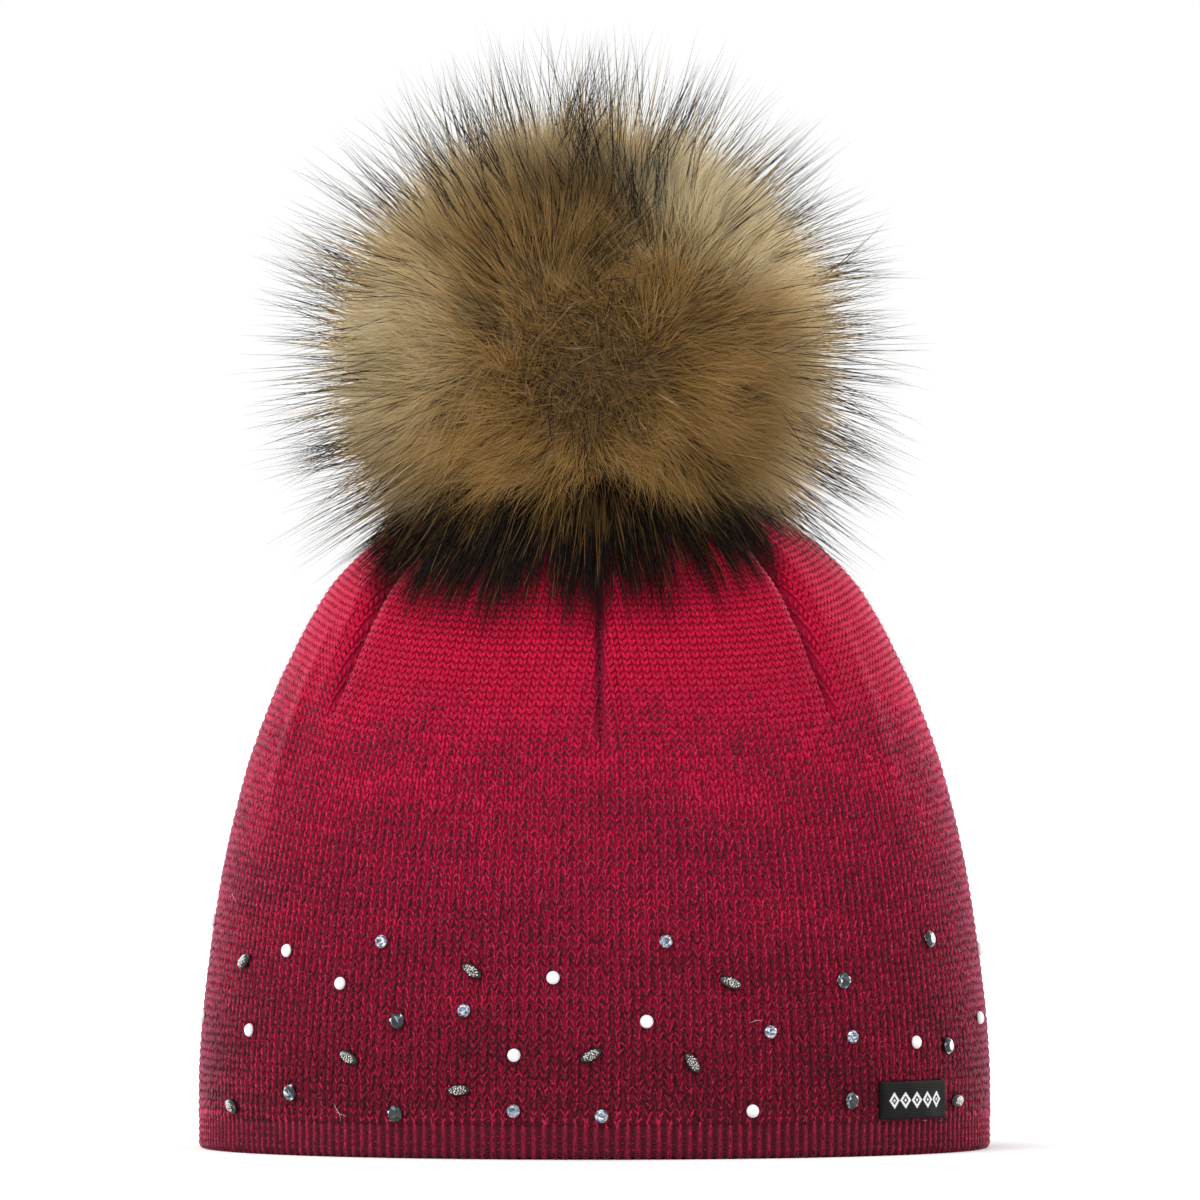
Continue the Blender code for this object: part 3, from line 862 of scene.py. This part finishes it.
def fur_strands(normal, chance, reach, comb, shake, clumps, pull, curl):
    """Hairs from the core out: roots, straight runs, bends at the tip and what colours them.

    reach is the shortest, usual and longest distance of the tips from the pompom's centre.
    """
    count = len(normal)
    whorl = unit(WHORL)
    facing = normal @ whorl
    away = normal * facing[:, None] - whorl
    near = smooth_step(0.15, 0.90, facing)[:, None]
    middle = smooth_step(0.93, 0.985, facing)[:, None]
    axes, owner = clumps_of(normal, clumps)
    clump_chance = np.random.default_rng(clumps + 1)
    clump_length, clump_tone = clump_chance.normal(0, 1, (2, clumps))[:, owner]
    clump_lean = clump_chance.normal(0, 1, (clumps, 3))[owner]
    broad_lean = np.stack([drift(normal, 0.55, seed_of_wave) for seed_of_wave in (41, 42, 43)], -1)
    root = POMPOM_CENTRE + normal * CORE_RADIUS * chance.uniform(0.88, 0.99, (count, 1))
    heading = unit(normal + away * (comb * near) + 0.09 * clump_lean + 0.10 * broad_lean
                   + chance.normal(0, 1, normal.shape) * (shake + 0.20 * middle))
    target = chance.triangular(*reach, count) * (1 + 0.022 * clump_length)
    below = smooth_step(0.20, 0.50, -normal[:, 2])
    target -= (target - 0.0500) * (0.28 * near[:, 0] * (1 - 0.8 * below) + 0.45 * middle[:, 0])
    offset = root - POMPOM_CENTRE
    along = (offset * heading).sum(-1)
    length = -along + np.sqrt(np.maximum(along ** 2 + target ** 2 - (offset ** 2).sum(-1), 1e-8))
    run = heading * np.maximum(length, 0.003)[:, None]
    tip = root + run
    gather = POMPOM_CENTRE + unit(axes[owner] + heading - normal) * np.linalg.norm(
        tip - POMPOM_CENTRE, axis=1, keepdims=True)
    pulled = (gather - tip) * (pull * chance.uniform(0.4, 1.4, count))[:, None]
    run += 0.7 * pulled
    bend = 0.3 * pulled + chance.normal(0, curl, normal.shape) * length[:, None]
    bend[:, 2] -= 0.03 * length
    low = np.flatnonzero(normal[:, 2] < 0.25)
    for _ in range(5):
        gap, out = crown_gap(root[low])
        root[low] += out * np.clip(FUR_CLEARANCE - gap, 0, None)[:, None]
        for t in (0.5, 1.0):
            gap, out = crown_gap(root[low] + run[low] * t + bend[low] * t * t)
            run[low] += out * (np.clip(FUR_CLEARANCE - gap, 0, None) / t)[:, None]
        far = np.linalg.norm(root[low] + run[low] + bend[low] - POMPOM_CENTRE, axis=1)
        shrink = np.minimum(FUR_REACH_LIMIT / far, 1.0)[:, None]
        run[low] *= shrink
        bend[low] *= shrink
    reached = unit(root + run + bend - POMPOM_CENTRE)
    return dict(root=root, run=run, bend=bend, normal=normal, facing=facing, clump=clump_tone,
                middle=middle[:, 0], reached=reached, ball=unit(normal + reached))


def fur_tree():
    """Grows a tapered three-sided hair on every point: straight along its run, bent along its bend."""
    tree, given = new_tree("fur_hairs", (("Half Width", "Float"), ("Segments", "Int"),
                                         ("Hair", "Material")))
    run, bend = [add(tree, "GeometryNodeInputNamedAttribute", {"Name": name}, data_type="FLOAT_VECTOR")
                 for name in ("run", "bend")]
    t = add(tree, "GeometryNodeInputNamedAttribute", {"Name": "t"}, data_type="FLOAT")
    spike = add(tree, "GeometryNodeMeshCone",
                {"Vertices": 3, "Side Segments": given["Segments"], "Depth": 1.0, "Radius Top": 0.0,
                 "Radius Bottom": given["Half Width"]}, "Mesh")
    place = add(tree, "GeometryNodeInputPosition")
    x, y, height = add(tree, "ShaderNodeSeparateXYZ", {0: place}).node.outputs
    flat = add(tree, "ShaderNodeCombineXYZ", {0: x, 1: y})
    swell = add(tree, "ShaderNodeVectorMath", {0: flat, "Scale": height}, operation="SCALE")
    shaped = add(tree, "GeometryNodeSetPosition", {0: spike, "Offset": swell})
    marked = add(tree, "GeometryNodeStoreNamedAttribute", {0: shaped, "Name": "t", "Value": height},
                 data_type="FLOAT", domain="POINT")
    length = add(tree, "ShaderNodeVectorMath", {0: run}, "Value", operation="LENGTH")
    size = add(tree, "ShaderNodeCombineXYZ", {0: 1.0, 1: 1.0, 2: length})
    turn = add(tree, "FunctionNodeAlignRotationToVector", {"Vector": run}, axis="Z")
    hairs = add(tree, "GeometryNodeInstanceOnPoints",
                {"Points": given["Geometry"], "Instance": marked, "Rotation": turn, "Scale": size})
    real = add(tree, "GeometryNodeRealizeInstances", {0: hairs})
    squared = add(tree, "ShaderNodeMath", {0: t, 1: t}, operation="MULTIPLY")
    shift = add(tree, "ShaderNodeVectorMath", {0: bend, "Scale": squared}, operation="SCALE")
    bent = add(tree, "GeometryNodeSetPosition", {0: real, "Offset": shift})
    end_tree(tree, bent, given["Hair"])
    return tree


def fur_hair():
    """Modacrylic fur fibre, silky: brown root, golden or cream length, and black on the guard tips; the
    cream is partly painted light at the rim and on the left, and the tone partly painted shade under the
    ball.
    """
    material, tree, shader = new_finish("modacrylic_fur", Roughness=0.6, Specular_IOR_Level=0.12)
    t, tone, pale, black_from = [add(tree, "ShaderNodeAttribute", output="Fac", attribute_name=mark)
                                 for mark in ("t", "tone", "pale", "black_from")]
    golden, cream = [add(tree, "ShaderNodeValToRGB", {0: t}, stops=stops) for stops in (
        ((0.0, "#5E4222"), (0.5, "#926C36"), (1.0, "#B08A4E")),
        ((0.0, "#8E7446"), (0.5, "#C6AC74"), (1.0, "#E8DCC0")))]
    mixed = add(tree, "ShaderNodeMix", {0: pale, 6: golden, 7: cream}, 2, data_type="RGBA")
    toned = add(tree, "ShaderNodeVectorMath", {0: mixed, "Scale": tone}, operation="SCALE")
    end = add(tree, "ShaderNodeMath", {0: black_from, 1: 0.16}, operation="ADD")
    black = add(tree, "ShaderNodeMapRange", {"Value": t, "From Min": black_from, "From Max": end})
    tipped = add(tree, "ShaderNodeMix", {0: black, 6: toned, 7: linear("#1C1512")}, 2, data_type="RGBA")
    tree.links.new(tipped, shader.inputs["Base Color"])
    tree.links.new(softened_normal(tree, "ball", 0.6), shader.inputs["Normal"])
    return material


def fur_piece(name, tree, strands, half_width, segments, material, part=slice(None)):
    """The fur's hairs, or a part of them, as a plain mesh."""
    cloud = point_cloud(name, strands["root"], {mark: strands[mark] for mark in FUR_MARKS}, part)
    return grow(cloud, tree, {"Half Width": half_width, "Segments": segments, "Hair": material})


def fur_regions(strands, chance):
    """Shades the hairs by region: a dark lower edge that is partly black hair and partly painted shade
    under the ball, a dark top and streak, a pale upper right, and a pale left that is painted light on the
    side towards the key lamp.
    """
    normal = strands["normal"]
    facing = np.clip(strands["facing"], 0, 1)
    # low: hairs whose tips point down, dark as black hair and as painted shade under the ball
    low = smooth_step(0.53, 0.67, 0.04 * drift(normal, 0.5, 51) - strands["reached"][:, 2] - 0.08 * facing)
    # left: hairs on the side towards the key lamp, mixed to cream as painted light, their tone 12% lower
    left = smooth_step(0.85, 0.985, normal @ unit(PAINTED_LIGHT_LEFT))
    top_right = smooth_step(0.86, 0.99, normal @ unit(PALE_TOP))
    top = smooth_step(0.77, 0.93, normal @ unit(DARK_TOP)) * (1 - 0.8 * top_right)
    streak = smooth_step(0.945, 0.985, normal @ unit(DARK_STREAK))
    tone = 1 + 0.16 * strands["clump"] + 0.12 * drift(normal, 0.8, 52) + chance.normal(0, 0.07, len(normal))
    tone *= (1 - 0.52 * strands["middle"]) * (1 - 0.33 * top) * (1 - 0.45 * streak)
    tone *= (1 + 0.20 * top_right) * (1 - 0.12 * left)
    # region: the pale upper right and the painted light on the left, kept off the lower edge
    strands.update(low=low, top=np.maximum(top, streak), tone=np.clip(tone, 0.3, 1.6),
                   region=(0.52 * left + 0.95 * top_right) * (1 - low))


def pompom(tree, material):
    """The fur ball: a dense golden underfur, longer black-tipped guard hairs and a dark drape."""
    chance = np.random.default_rng(21)
    normals = fur_normals(UNDERFUR_HAIRS, chance)
    under = fur_strands(normals, chance, (0.0485, 0.0545, 0.066), 0.26, 0.12, UNDERFUR_CLUMPS, 0.45, 0.05)
    normals = guard_normals(GUARD_HAIRS, chance)
    guard = fur_strands(normals, chance, (0.063, 0.0770, 0.0825), 0.15, 0.04, GUARD_CLUMPS, 0.45, 0.012)
    fur_regions(under, chance)
    fur_regions(guard, chance)

    count = len(under["normal"])
    # Long hairs away from the whorl, at the ball's rim as seen from the front, paled as painted backlight;
    # region adds the pale upper right and the painted light on the left
    long_hair = smooth_step(0.010, 0.017, np.linalg.norm(under["run"], axis=1))
    under["pale"] = np.clip(under["region"] + 0.55 * long_hair * smooth_step(0.7, 0.3, under["facing"])
                            + chance.normal(0.03, 0.12, count), 0, 1) * (1 - under["low"])
    # Underfur pointing down: its tone darkened as painted shade under the ball, and much of it black,
    # partly black hair and partly painted shade
    under["tone"] *= 1 - 0.60 * under["low"]
    under["black_from"] = np.where(chance.random(count) < 0.85 * under["low"], 0.0, NO_BLACK)
    share = chance.integers(0, 3, count)
    pieces = [fur_piece(f"underfur_{i + 1}", tree, under, 0.00011, 1, material, share == i)
              for i in range(3)]

    count = len(guard["normal"])
    # Guard hairs pale, more on the upper right and as painted light on the left, with the pale taken out
    # under the ball as painted shade
    guard["pale"] = np.clip(0.40 + guard["region"] + chance.normal(0, 0.2, count), 0, 1)
    guard["pale"] *= 1 - guard["low"]
    start = 0.40 + 0.10 * guard["clump"] + chance.normal(0, 0.12, count)
    dark = np.maximum(np.maximum(guard["low"], guard["top"]), guard["middle"])
    start = np.clip(start * (1 - 0.8 * dark), 0.02, 0.85)
    tipped = chance.random(count) < np.maximum(0.90, guard["low"])
    guard["black_from"] = np.where(tipped, start, NO_BLACK)
    pieces.append(fur_piece("guard_hair", tree, guard, 0.00013, 3, material))

    draped = draped_strands(DRAPED_HAIRS, chance, DRAPED_CLUMPS)
    pieces.append(fur_piece("draped_hair", tree, draped, 0.00012, 3, material))
    return pieces


def fur_core():
    """The backing under the fur: a round ball cut short where the cap is, in matt brown knitted pile, its
    brown darkened as painted shade deep in the fur.

    Its pile is drawn as a mottle 2 mm wide, as it is only glimpsed between the hairs.
    """
    form = bmesh.new()
    bmesh.ops.create_icosphere(form, subdivisions=4, radius=1.0)
    form.verts.index_update()
    points = POMPOM_CENTRE + np.array([vert.co[:] for vert in form.verts]) * CORE_RADIUS
    faces = [[vert.index for vert in face.verts] for face in form.faces]
    form.free()
    for _ in range(4):
        gap, out = crown_gap(points)
        points += out * np.clip(0.0006 - gap, 0, None)[:, None]
    # Dark golden brown: the pile's own colour, darkened as painted shade
    material = plain_finish("fur_backing_painted_shade", ((0.3, "#3A2A18"), (0.7, "#6A5030")), cells=0.5, detail=4.0,
                            Roughness=0.95)
    return mesh_object("fur_core", points, faces, material)


# Loose fibres on the cloth
def fuzz_fibre():
    """Loose wool fibre ends, crimson and pale, that soften the cloth's edge."""
    stops = ((0.0, "#B81C44"), (0.7, "#C83860"), (1.0, "#DC8094"))
    return plain_finish("loose_wool_fibre", stops, mark="tone", Roughness=0.9, Specular_IOR_Level=0.1)


def stray_fibre():
    """Stray fur hairs caught on the cloth, pale beige and glassy."""
    return plain_finish("stray_fur_hair", ((0.0, "#C9A99C"), (1.0, "#E9DDD2")), mark="tone", Roughness=0.4)


def cloth_fuzz(tree, material):
    """Short loose fibres all over the cap."""
    chance = np.random.default_rng(61)
    angle = chance.uniform(0, 360, FUZZ_FIBRES)
    arc = ARC[-1] * 0.86 * chance.random(FUZZ_FIBRES)
    here, out, up, side = cloth_frame(angle, arc)
    length = chance.triangular(0.0006, 0.0009, 0.0024, (FUZZ_FIBRES, 1))
    lean = chance.normal(0, 0.9, (FUZZ_FIBRES, 2, 1))
    run = unit(out + up * lean[:, 0] + side * lean[:, 1]) * length
    bend = (side * chance.normal(0, 0.4, (FUZZ_FIBRES, 1)) - out * 0.2) * length
    cloud = point_cloud("cloth_fuzz", here, {"run": run, "bend": bend, "tone": chance.random(FUZZ_FIBRES)})
    return grow(cloud, tree, {"Half Width": 0.000035, "Segments": 1, "Hair": material})


def stray_hairs(material):
    """A few long stray hairs lying on the cloth, as thin closed tubes."""
    chance = np.random.default_rng(62)
    points, faces, tone = [], [], []
    steps = 14
    for angle, height, heading, length, curl in STRAY_HAIRS:
        way = math.radians(heading) + np.linspace(0, math.radians(curl), steps)
        way = way + np.cumsum(chance.normal(0, 0.12, steps))
        across = np.cumsum(np.cos(way)) * length / steps
        climb = np.cumsum(np.sin(way)) * length / steps
        arc = np.interp(height, HEIGHTS, ARC) + climb
        turn = angle + np.degrees(across / np.interp(arc, ARC, RADII))
        lift = 0.0006 + 0.0008 * np.sin(np.linspace(0, 3, steps)) ** 2
        line = cloth_point(turn, arc, lift)
        _, out, _, _ = cloth_frame(turn, arc)
        side = unit(np.cross(np.gradient(line, axis=0), out))
        thick = STRAY_RADIUS * np.sin(np.linspace(0.15, math.pi - 0.15, steps))[:, None]
        first = len(points)
        for k in range(3):
            around = 2 * math.pi * k / 3
            points.extend(line + thick * (out * math.cos(around) + side * math.sin(around)))
        for k in range(3):
            a, b = first + k * steps, first + (k + 1) % 3 * steps
            faces.extend((a + i, a + i + 1, b + i + 1, b + i) for i in range(steps - 1))
        faces.append((first, first + steps, first + 2 * steps))
        faces.append((first + 3 * steps - 1, first + 2 * steps - 1, first + steps - 1))
        tone.extend([chance.random()] * 3 * steps)
    hairs = mesh_object("stray_hairs", points, faces, material)
    write_numbers(hairs.data, "tone", tone)
    return hairs


# Studs and patch
def node_points(node):
    """The corners of a CAD node's mesh."""
    return np.array([vert.co[:] for vert in bpy.data.objects[node].data.vertices])


def seat_of(node):
    """Where a CAD stud sits: its back's middle, its axes on the cloth, and its size along them."""
    points = node_points(node)
    middle = 0.5 * (points.min(0) + points.max(0))
    angle = np.degrees(np.arctan2(middle[0], -middle[1]))
    arc = np.interp(middle[2], HEIGHTS, ARC)
    _, out, up, side = [v[0] for v in cloth_frame(np.array([angle]), np.array([arc]))]
    flat = np.stack([(points - middle) @ side, (points - middle) @ up], -1)
    _, axes = np.linalg.eigh(np.cov(flat.T))
    long_way = unit(side * axes[0, 1] + up * axes[1, 1])
    short_way = unit(np.cross(out, long_way))
    local = (points - middle) @ np.stack([long_way, short_way, out], -1)
    size = local.max(0) - local.min(0)
    back = middle + out * local[:, 2].min()
    return back, np.stack([long_way, short_way, out]), size


def turned(rings_of_form, sides, shift=0.0):
    """Rings of points round +Z from (height, share of half width) rows."""
    turn = 2 * np.pi * (np.arange(sides) + shift) / sides
    return [np.stack([0.5 * share * np.cos(turn), 0.5 * share * np.sin(turn), 0 * turn + height], -1)
            for height, share in rings_of_form]


DOME_RINGS = (
    # height, width
    (0.00, 0.94),
    (0.18, 1.00),
    (0.42, 0.97),
    (0.68, 0.83),
    (0.86, 0.62),
    (0.96, 0.36),
)


def dome(name, node, material, sides=28):
    """A smooth round or oval dome in place of a stud."""
    back, axes, size = seat_of(node)
    points = np.vstack(turned(DOME_RINGS, sides) + [np.array([[0, 0, 0.0], [0, 0, 1.0]])])
    piece = mesh_object(name, back + (points * size) @ axes, lathe_faces(len(DOME_RINGS), sides), material)
    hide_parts(node)
    return piece


def cut_stone(name, node, material, seed):
    """A round cut stone: table, star, kite and girdle facets, each facet painted with its own glint as a
    painted reflection.
    """
    back, axes, size = seat_of(node)
    rings = turned([(0.0, 0.90), (0.30, 1.0), (0.44, 1.0)], 16) + turned([(0.80, 0.80)], 8, 0.5)
    rings += turned([(1.0, 0.56)], 8)
    form = bmesh.new()
    for point in np.vstack(rings):
        form.verts.new(back + (point * size) @ axes)
    bmesh.ops.convex_hull(form, input=form.verts)
    bmesh.ops.recalc_face_normals(form, faces=form.faces)
    mesh = bpy.data.meshes.new(name)
    form.to_mesh(mesh)
    form.free()
    # Painted reflections: a random shade for each facet, and a middle one for the table
    glint = np.random.default_rng(seed).random(len(mesh.polygons))
    glint[np.argmax([polygon.area for polygon in mesh.polygons[:]])] = TABLE_GLINT
    write_numbers(mesh, "glint", glint, "FACE")
    mesh.materials.append(material)
    piece = placed(name, mesh)
    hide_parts(node)
    return piece


def enamel():
    """White stoving enamel on metal, sprayed: a soft even sheen, its 1.4 mm mottle hardly seen."""
    return plain_finish("white_enamel", ((0.3, "#DADADD"), (0.7, "#EDEDEE")), cells=0.7,
                        Roughness=0.45, Specular_IOR_Level=0.4)


def glass_with_painted_glints(name, stops):
    """Cut glass with a foil back: each facet painted with one shade of the stops as a painted reflection,
    under a clear gloss.
    """
    return plain_finish(name, stops, mark="glint", Roughness=0.08, Metallic=0.25, Coat_Weight=0.5,
                        Coat_Roughness=0.03)


def black_enamel():
    """Black enamel in the oval cups, poured: glossy and almost without colour or its 1.1 mm mottle."""
    return plain_finish("black_enamel", ((0.3, "#0E0A0B"), (0.7, "#1C1517")), cells=0.9, Roughness=0.25)


def silver_grain():
    """Silvered glass grains: bright, hard highlights over a warm grey that shifts every 0.4 mm, a grain."""
    return plain_finish("silvered_grains", ((0.35, "#A8A4A0"), (0.65, "#F6F3EE")), cells=2.5,
                        Roughness=0.3, Metallic=0.4)


def grain_tree():
    """A small round grain on every point, sized by the point."""
    tree, given = new_tree("set_grains", (("Radius", "Float"), ("Grain", "Material")))
    plump = add(tree, "GeometryNodeInputNamedAttribute", {"Name": "plump"}, data_type="FLOAT")
    ball = add(tree, "GeometryNodeMeshIcoSphere", {"Radius": given["Radius"], "Subdivisions": 1}, "Mesh")
    grains = add(tree, "GeometryNodeInstanceOnPoints",
                 {"Points": given["Geometry"], "Instance": ball, "Scale": plump})
    end_tree(tree, grains, given["Grain"])
    return tree


def oval_grains(nodes, material):
    """Silver grains crowded on the top of every oval stud."""
    chance = np.random.default_rng(8)
    places, plump = [], []
    for node in nodes:
        back, axes, size = seat_of(node)
        k = np.arange(OVAL_GRAINS) + 0.5
        reach = 0.35 * np.sqrt(k / OVAL_GRAINS)
        turn = k * GRAIN_TURN + chance.uniform(0, 6)
        local = np.stack([reach * np.cos(turn), reach * np.sin(turn),
                          np.sqrt(np.maximum(1 - (reach / 0.52) ** 2, 0.0)) * 0.60 + 0.34], -1)
        local[:, :2] += chance.normal(0, 0.016, (OVAL_GRAINS, 2))
        places.append(back + (local * size) @ axes)
        plump.append(chance.uniform(0.7, 1.15, OVAL_GRAINS))
    cloud = point_cloud("silver_grains", np.vstack(places), {"plump": np.concatenate(plump)})
    return grow(cloud, grain_tree(), {"Radius": 0.00021, "Grain": material})


def patch_cloth():
    """Damask-woven polyester: black satin with a raised white motif of plain diamonds.

    Its threads are drawn 0.35 mm apart, coarser than the real weave, so that they show.
    """
    material, tree, shader = new_finish("damask_polyester", Roughness=0.8, Specular_IOR_Level=0.12)
    place = add(tree, "ShaderNodeTexCoord", output="Object")
    across, upward = [add(tree, "ShaderNodeAttribute", output="Fac", attribute_name=mark)
                      for mark in ("across", "upward")]
    shifted = add(tree, "ShaderNodeMath", {0: across, 1: 10 * DIAMOND_HALF_PITCH}, operation="ADD")
    cell = add(tree, "ShaderNodeMath", {0: shifted, 1: DIAMOND_HALF_PITCH}, operation="PINGPONG")
    aside, rise = [add(tree, "ShaderNodeMath", {0: value}, operation="ABSOLUTE")
                   for value in (across, upward)]
    diamond = add(tree, "ShaderNodeMath", {0: cell, 1: rise}, operation="ADD")
    motif = 0.0
    for edge, sign in DIAMOND_EDGES:
        inside = add(tree, "ShaderNodeMath", {0: diamond, 1: edge}, operation="LESS_THAN")
        motif = add(tree, "ShaderNodeMath", {0: inside, 1: sign, 2: motif}, operation="MULTIPLY_ADD")
    within = add(tree, "ShaderNodeMath", {0: aside, 1: MOTIF_HALF_WIDTH}, operation="LESS_THAN")
    motif = add(tree, "ShaderNodeMath", {0: motif, 1: within}, operation="MULTIPLY")
    threads = add(tree, "ShaderNodeTexWave",
                  {"Vector": place, "Scale": 0.9 * PER_MM, "Distortion": 0.6}, "Fac", bands_direction="Z")
    black, white = [add(tree, "ShaderNodeValToRGB", {0: threads}, stops=stops) for stops in (
        ((0.2, "#060607"), (0.8, "#131416")), ((0.2, "#B9BABC"), (0.8, "#F0F0F0")))]
    woven = add(tree, "ShaderNodeMix", {0: motif, 6: black, 7: white}, 2, data_type="RGBA")
    raised = add(tree, "ShaderNodeMath", {0: threads, 1: motif}, operation="ADD")
    bump = add(tree, "ShaderNodeBump", {"Height": raised, "Strength": 0.5, "Distance": 0.00012})
    tree.links.new(woven, shader.inputs["Base Color"])
    tree.links.new(bump, shader.inputs["Normal"])
    return material


def patch(material):
    """The woven patch: a folded strip curved with the cloth, softly rounded at its edges."""
    points = node_points("label")
    low_z, high_z = points[:, 2].min(), points[:, 2].max()
    angles = np.degrees(np.arctan2(points[:, 0], -points[:, 1]))
    radii = np.hypot(points[:, 0], points[:, 1])
    middle, half_angle = 0.5 * (angles.max() + angles.min()), 0.5 * (angles.max() - angles.min())
    half_height, centre = 0.5 * (high_z - low_z), 0.5 * (high_z + low_z)
    outer_at = np.array((radii[points[:, 2] < centre].max(), radii[points[:, 2] > centre].max()))
    rows = np.concatenate([[-1, -0.99, -0.95], np.linspace(-0.88, 0.88, 15), [0.95, 0.99, 1]])
    columns = np.concatenate([[-1, -0.995, -0.98], np.linspace(-0.95, 0.95, 41), [0.98, 0.995, 1]])
    s, r = np.meshgrid(columns, rows)
    edge = np.maximum(np.abs(s) ** 40, np.abs(r) ** 14)
    wave = 0.00010 * drift(np.stack([s * 12, r * 4, 0 * s], -1).reshape(-1, 3), 9.0, 61).reshape(s.shape)
    lift = PATCH_THICKNESS * (0.55 * np.sqrt(np.clip(1 - edge, 0, 1)) + 0.40) + wave * (1 - edge)
    angle = np.radians(middle + half_angle * s)
    back = np.interp(r, (-1, 1), outer_at) - PATCH_THICKNESS
    layers = [round_hat(angle, radius, centre + half_height * r).reshape(-1, 3)
              for radius in (back, back + lift)]
    n_rows, n_columns = s.shape
    count = n_rows * n_columns
    faces = []
    for i in range(n_rows - 1):
        for j in range(n_columns - 1):
            a, b = i * n_columns + j, (i + 1) * n_columns + j
            faces.append((a, b, b + 1, a + 1))
            faces.append((count + a, count + a + 1, count + b + 1, count + b))
    border = list(range(n_columns)) + [i * n_columns + n_columns - 1 for i in range(1, n_rows)]
    border += [(n_rows - 1) * n_columns + j for j in range(n_columns - 2, -1, -1)]
    border += [i * n_columns for i in range(n_rows - 2, 0, -1)]
    for a, b in zip(border, border[1:] + border[:1]):
        faces.append((a, b, count + b, count + a))
    piece = mesh_object("woven_patch", np.vstack(layers), faces, material)
    across = (s * np.radians(half_angle) * outer_at.mean()).ravel()
    write_numbers(piece.data, "across", np.tile(across * 1000, 2))
    write_numbers(piece.data, "upward", np.tile((r * half_height).ravel() * 1000, 2))
    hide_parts("label")
    return piece


def trim():
    """Every stud, stone and grain, and the patch."""
    nodes = sorted(frame["nodes"])
    white, black = enamel(), black_enamel()
    # Shades of painted reflection on the facets, from dark to white
    clear = glass_with_painted_glints("clear_glass_painted_glints", ((0.0, "#2E343E"), (0.3, "#5E6878"), (0.6, "#8E9AAE"),
                                                (0.85, "#B9C4D4"), (1.0, "#FFFFFF")))
    smoke = glass_with_painted_glints("smoke_glass_painted_glints", ((0.0, "#050607"), (0.65, "#12171A"), (0.82, "#2A3C46"),
                                                (0.93, "#7895A0"), (1.0, "#F4FAFA")))
    made = []
    for number, node in enumerate(nodes):
        if node.startswith("dome_stud"):
            made.append((dome("enamel_" + node, node, white), "white_stud"))
        elif node.startswith("oval_stud"):
            made.append((dome("cup_" + node, node, black, 36), "grain_stud"))
        elif node.startswith("clear_stone"):
            made.append((cut_stone("cut_" + node, node, clear, number), "clear_stone"))
        elif node.startswith("smoke_stone"):
            made.append((cut_stone("cut_" + node, node, smoke, number), "smoke_stone"))
    ovals = [node for node in nodes if node.startswith("oval_stud")]
    made.append((oval_grains(ovals, silver_grain()), "grain_stud"))
    made.append((patch(patch_cloth()), "patch"))
    for piece, slot in made:
        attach(piece, "root")


# Camera, floor and light
PHOTO_SCALE = 0.0002278
PHOTO_SIZE = 1200
CAMERA_DISTANCE = 4.0
CAMERA_HEIGHT = 0.1247
CAMERA_SIDE = 0.00125


def studio():
    """A level long-lens camera, a white floor and soft light all round, a little stronger from the left."""
    camera = bpy.data.cameras.new("camera")
    camera.sensor_width = 36.0
    camera.lens = 36.0 * CAMERA_DISTANCE / (PHOTO_SIZE * PHOTO_SCALE)
    camera.clip_end = 50.0
    eye = placed("camera", camera)
    eye.location = (CAMERA_SIDE, -CAMERA_DISTANCE, CAMERA_HEIGHT)
    eye.rotation_euler = (math.radians(90), 0, 0)
    bpy.context.scene.camera = eye
    bpy.context.scene.view_settings.view_transform = "Standard"

    half = 20.0
    points = [(x, y, 0.0) for y in (-half, half) for x in (-half, half)]
    material, _, _ = new_finish("white_floor", Roughness=0.95, Specular_IOR_Level=0.0,
                                Base_Color=linear("#F6F6F6"))
    floor = mesh_object("floor", points, [(0, 1, 3, 2)], material)

    world = bpy.data.worlds.new("studio")
    world.use_nodes = True
    background = world.node_tree.nodes["Background"]
    background.inputs["Color"].default_value = (1, 1, 1, 1)
    background.inputs["Strength"].default_value = 1.0
    bpy.context.scene.world = world

    lamps = (
        # name, direction it comes from, spread in degrees, strength
        ("key", (-0.7, -1.0, 1.1), 40.0, 1.3),
        ("left rim", (-1.0, 0.9, 0.15), 50.0, 3.3),
        ("right rim", (1.0, 0.9, 0.15), 50.0, 3.7),
    )
    for name, way, spread, power in lamps:
        lamp = bpy.data.lights.new(name, "SUN")
        lamp.angle = math.radians(spread)
        lamp.energy = power
        holder = placed(name, lamp)
        holder.location = Vector(way)
        holder.rotation_euler = (-Vector(way)).to_track_quat("-Z", "Y").to_euler()


def main():
    """Builds the cap, the hem, the fur ball and the trim, and the studio round them."""
    yarn = wool_yarn()
    leg = half_loop()
    tree = stitch_tree(leg)
    shell = cap_shell(ground_yarn_painted_shade())
    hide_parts("knit_crown")
    hairs = fur_tree()
    cloth = [shell] + cap_stitches(tree, yarn)
    cloth += [cloth_fuzz(hairs, fuzz_fibre()), stray_hairs(stray_fibre())]
    band = rib_hem(rib_yarn())
    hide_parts("rib_hem")
    hem = [band, hem_stitches(tree, yarn)]
    bpy.data.objects.remove(leg)
    core = fur_core()
    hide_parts("pompom")
    fur = [core] + pompom(hairs, fur_hair())
    for pieces, slot in ((cloth, "knit"), (hem, "rib"), (fur, "fur")):
        for piece in pieces:
            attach(piece, "root")
    trim()
    studio()


main()
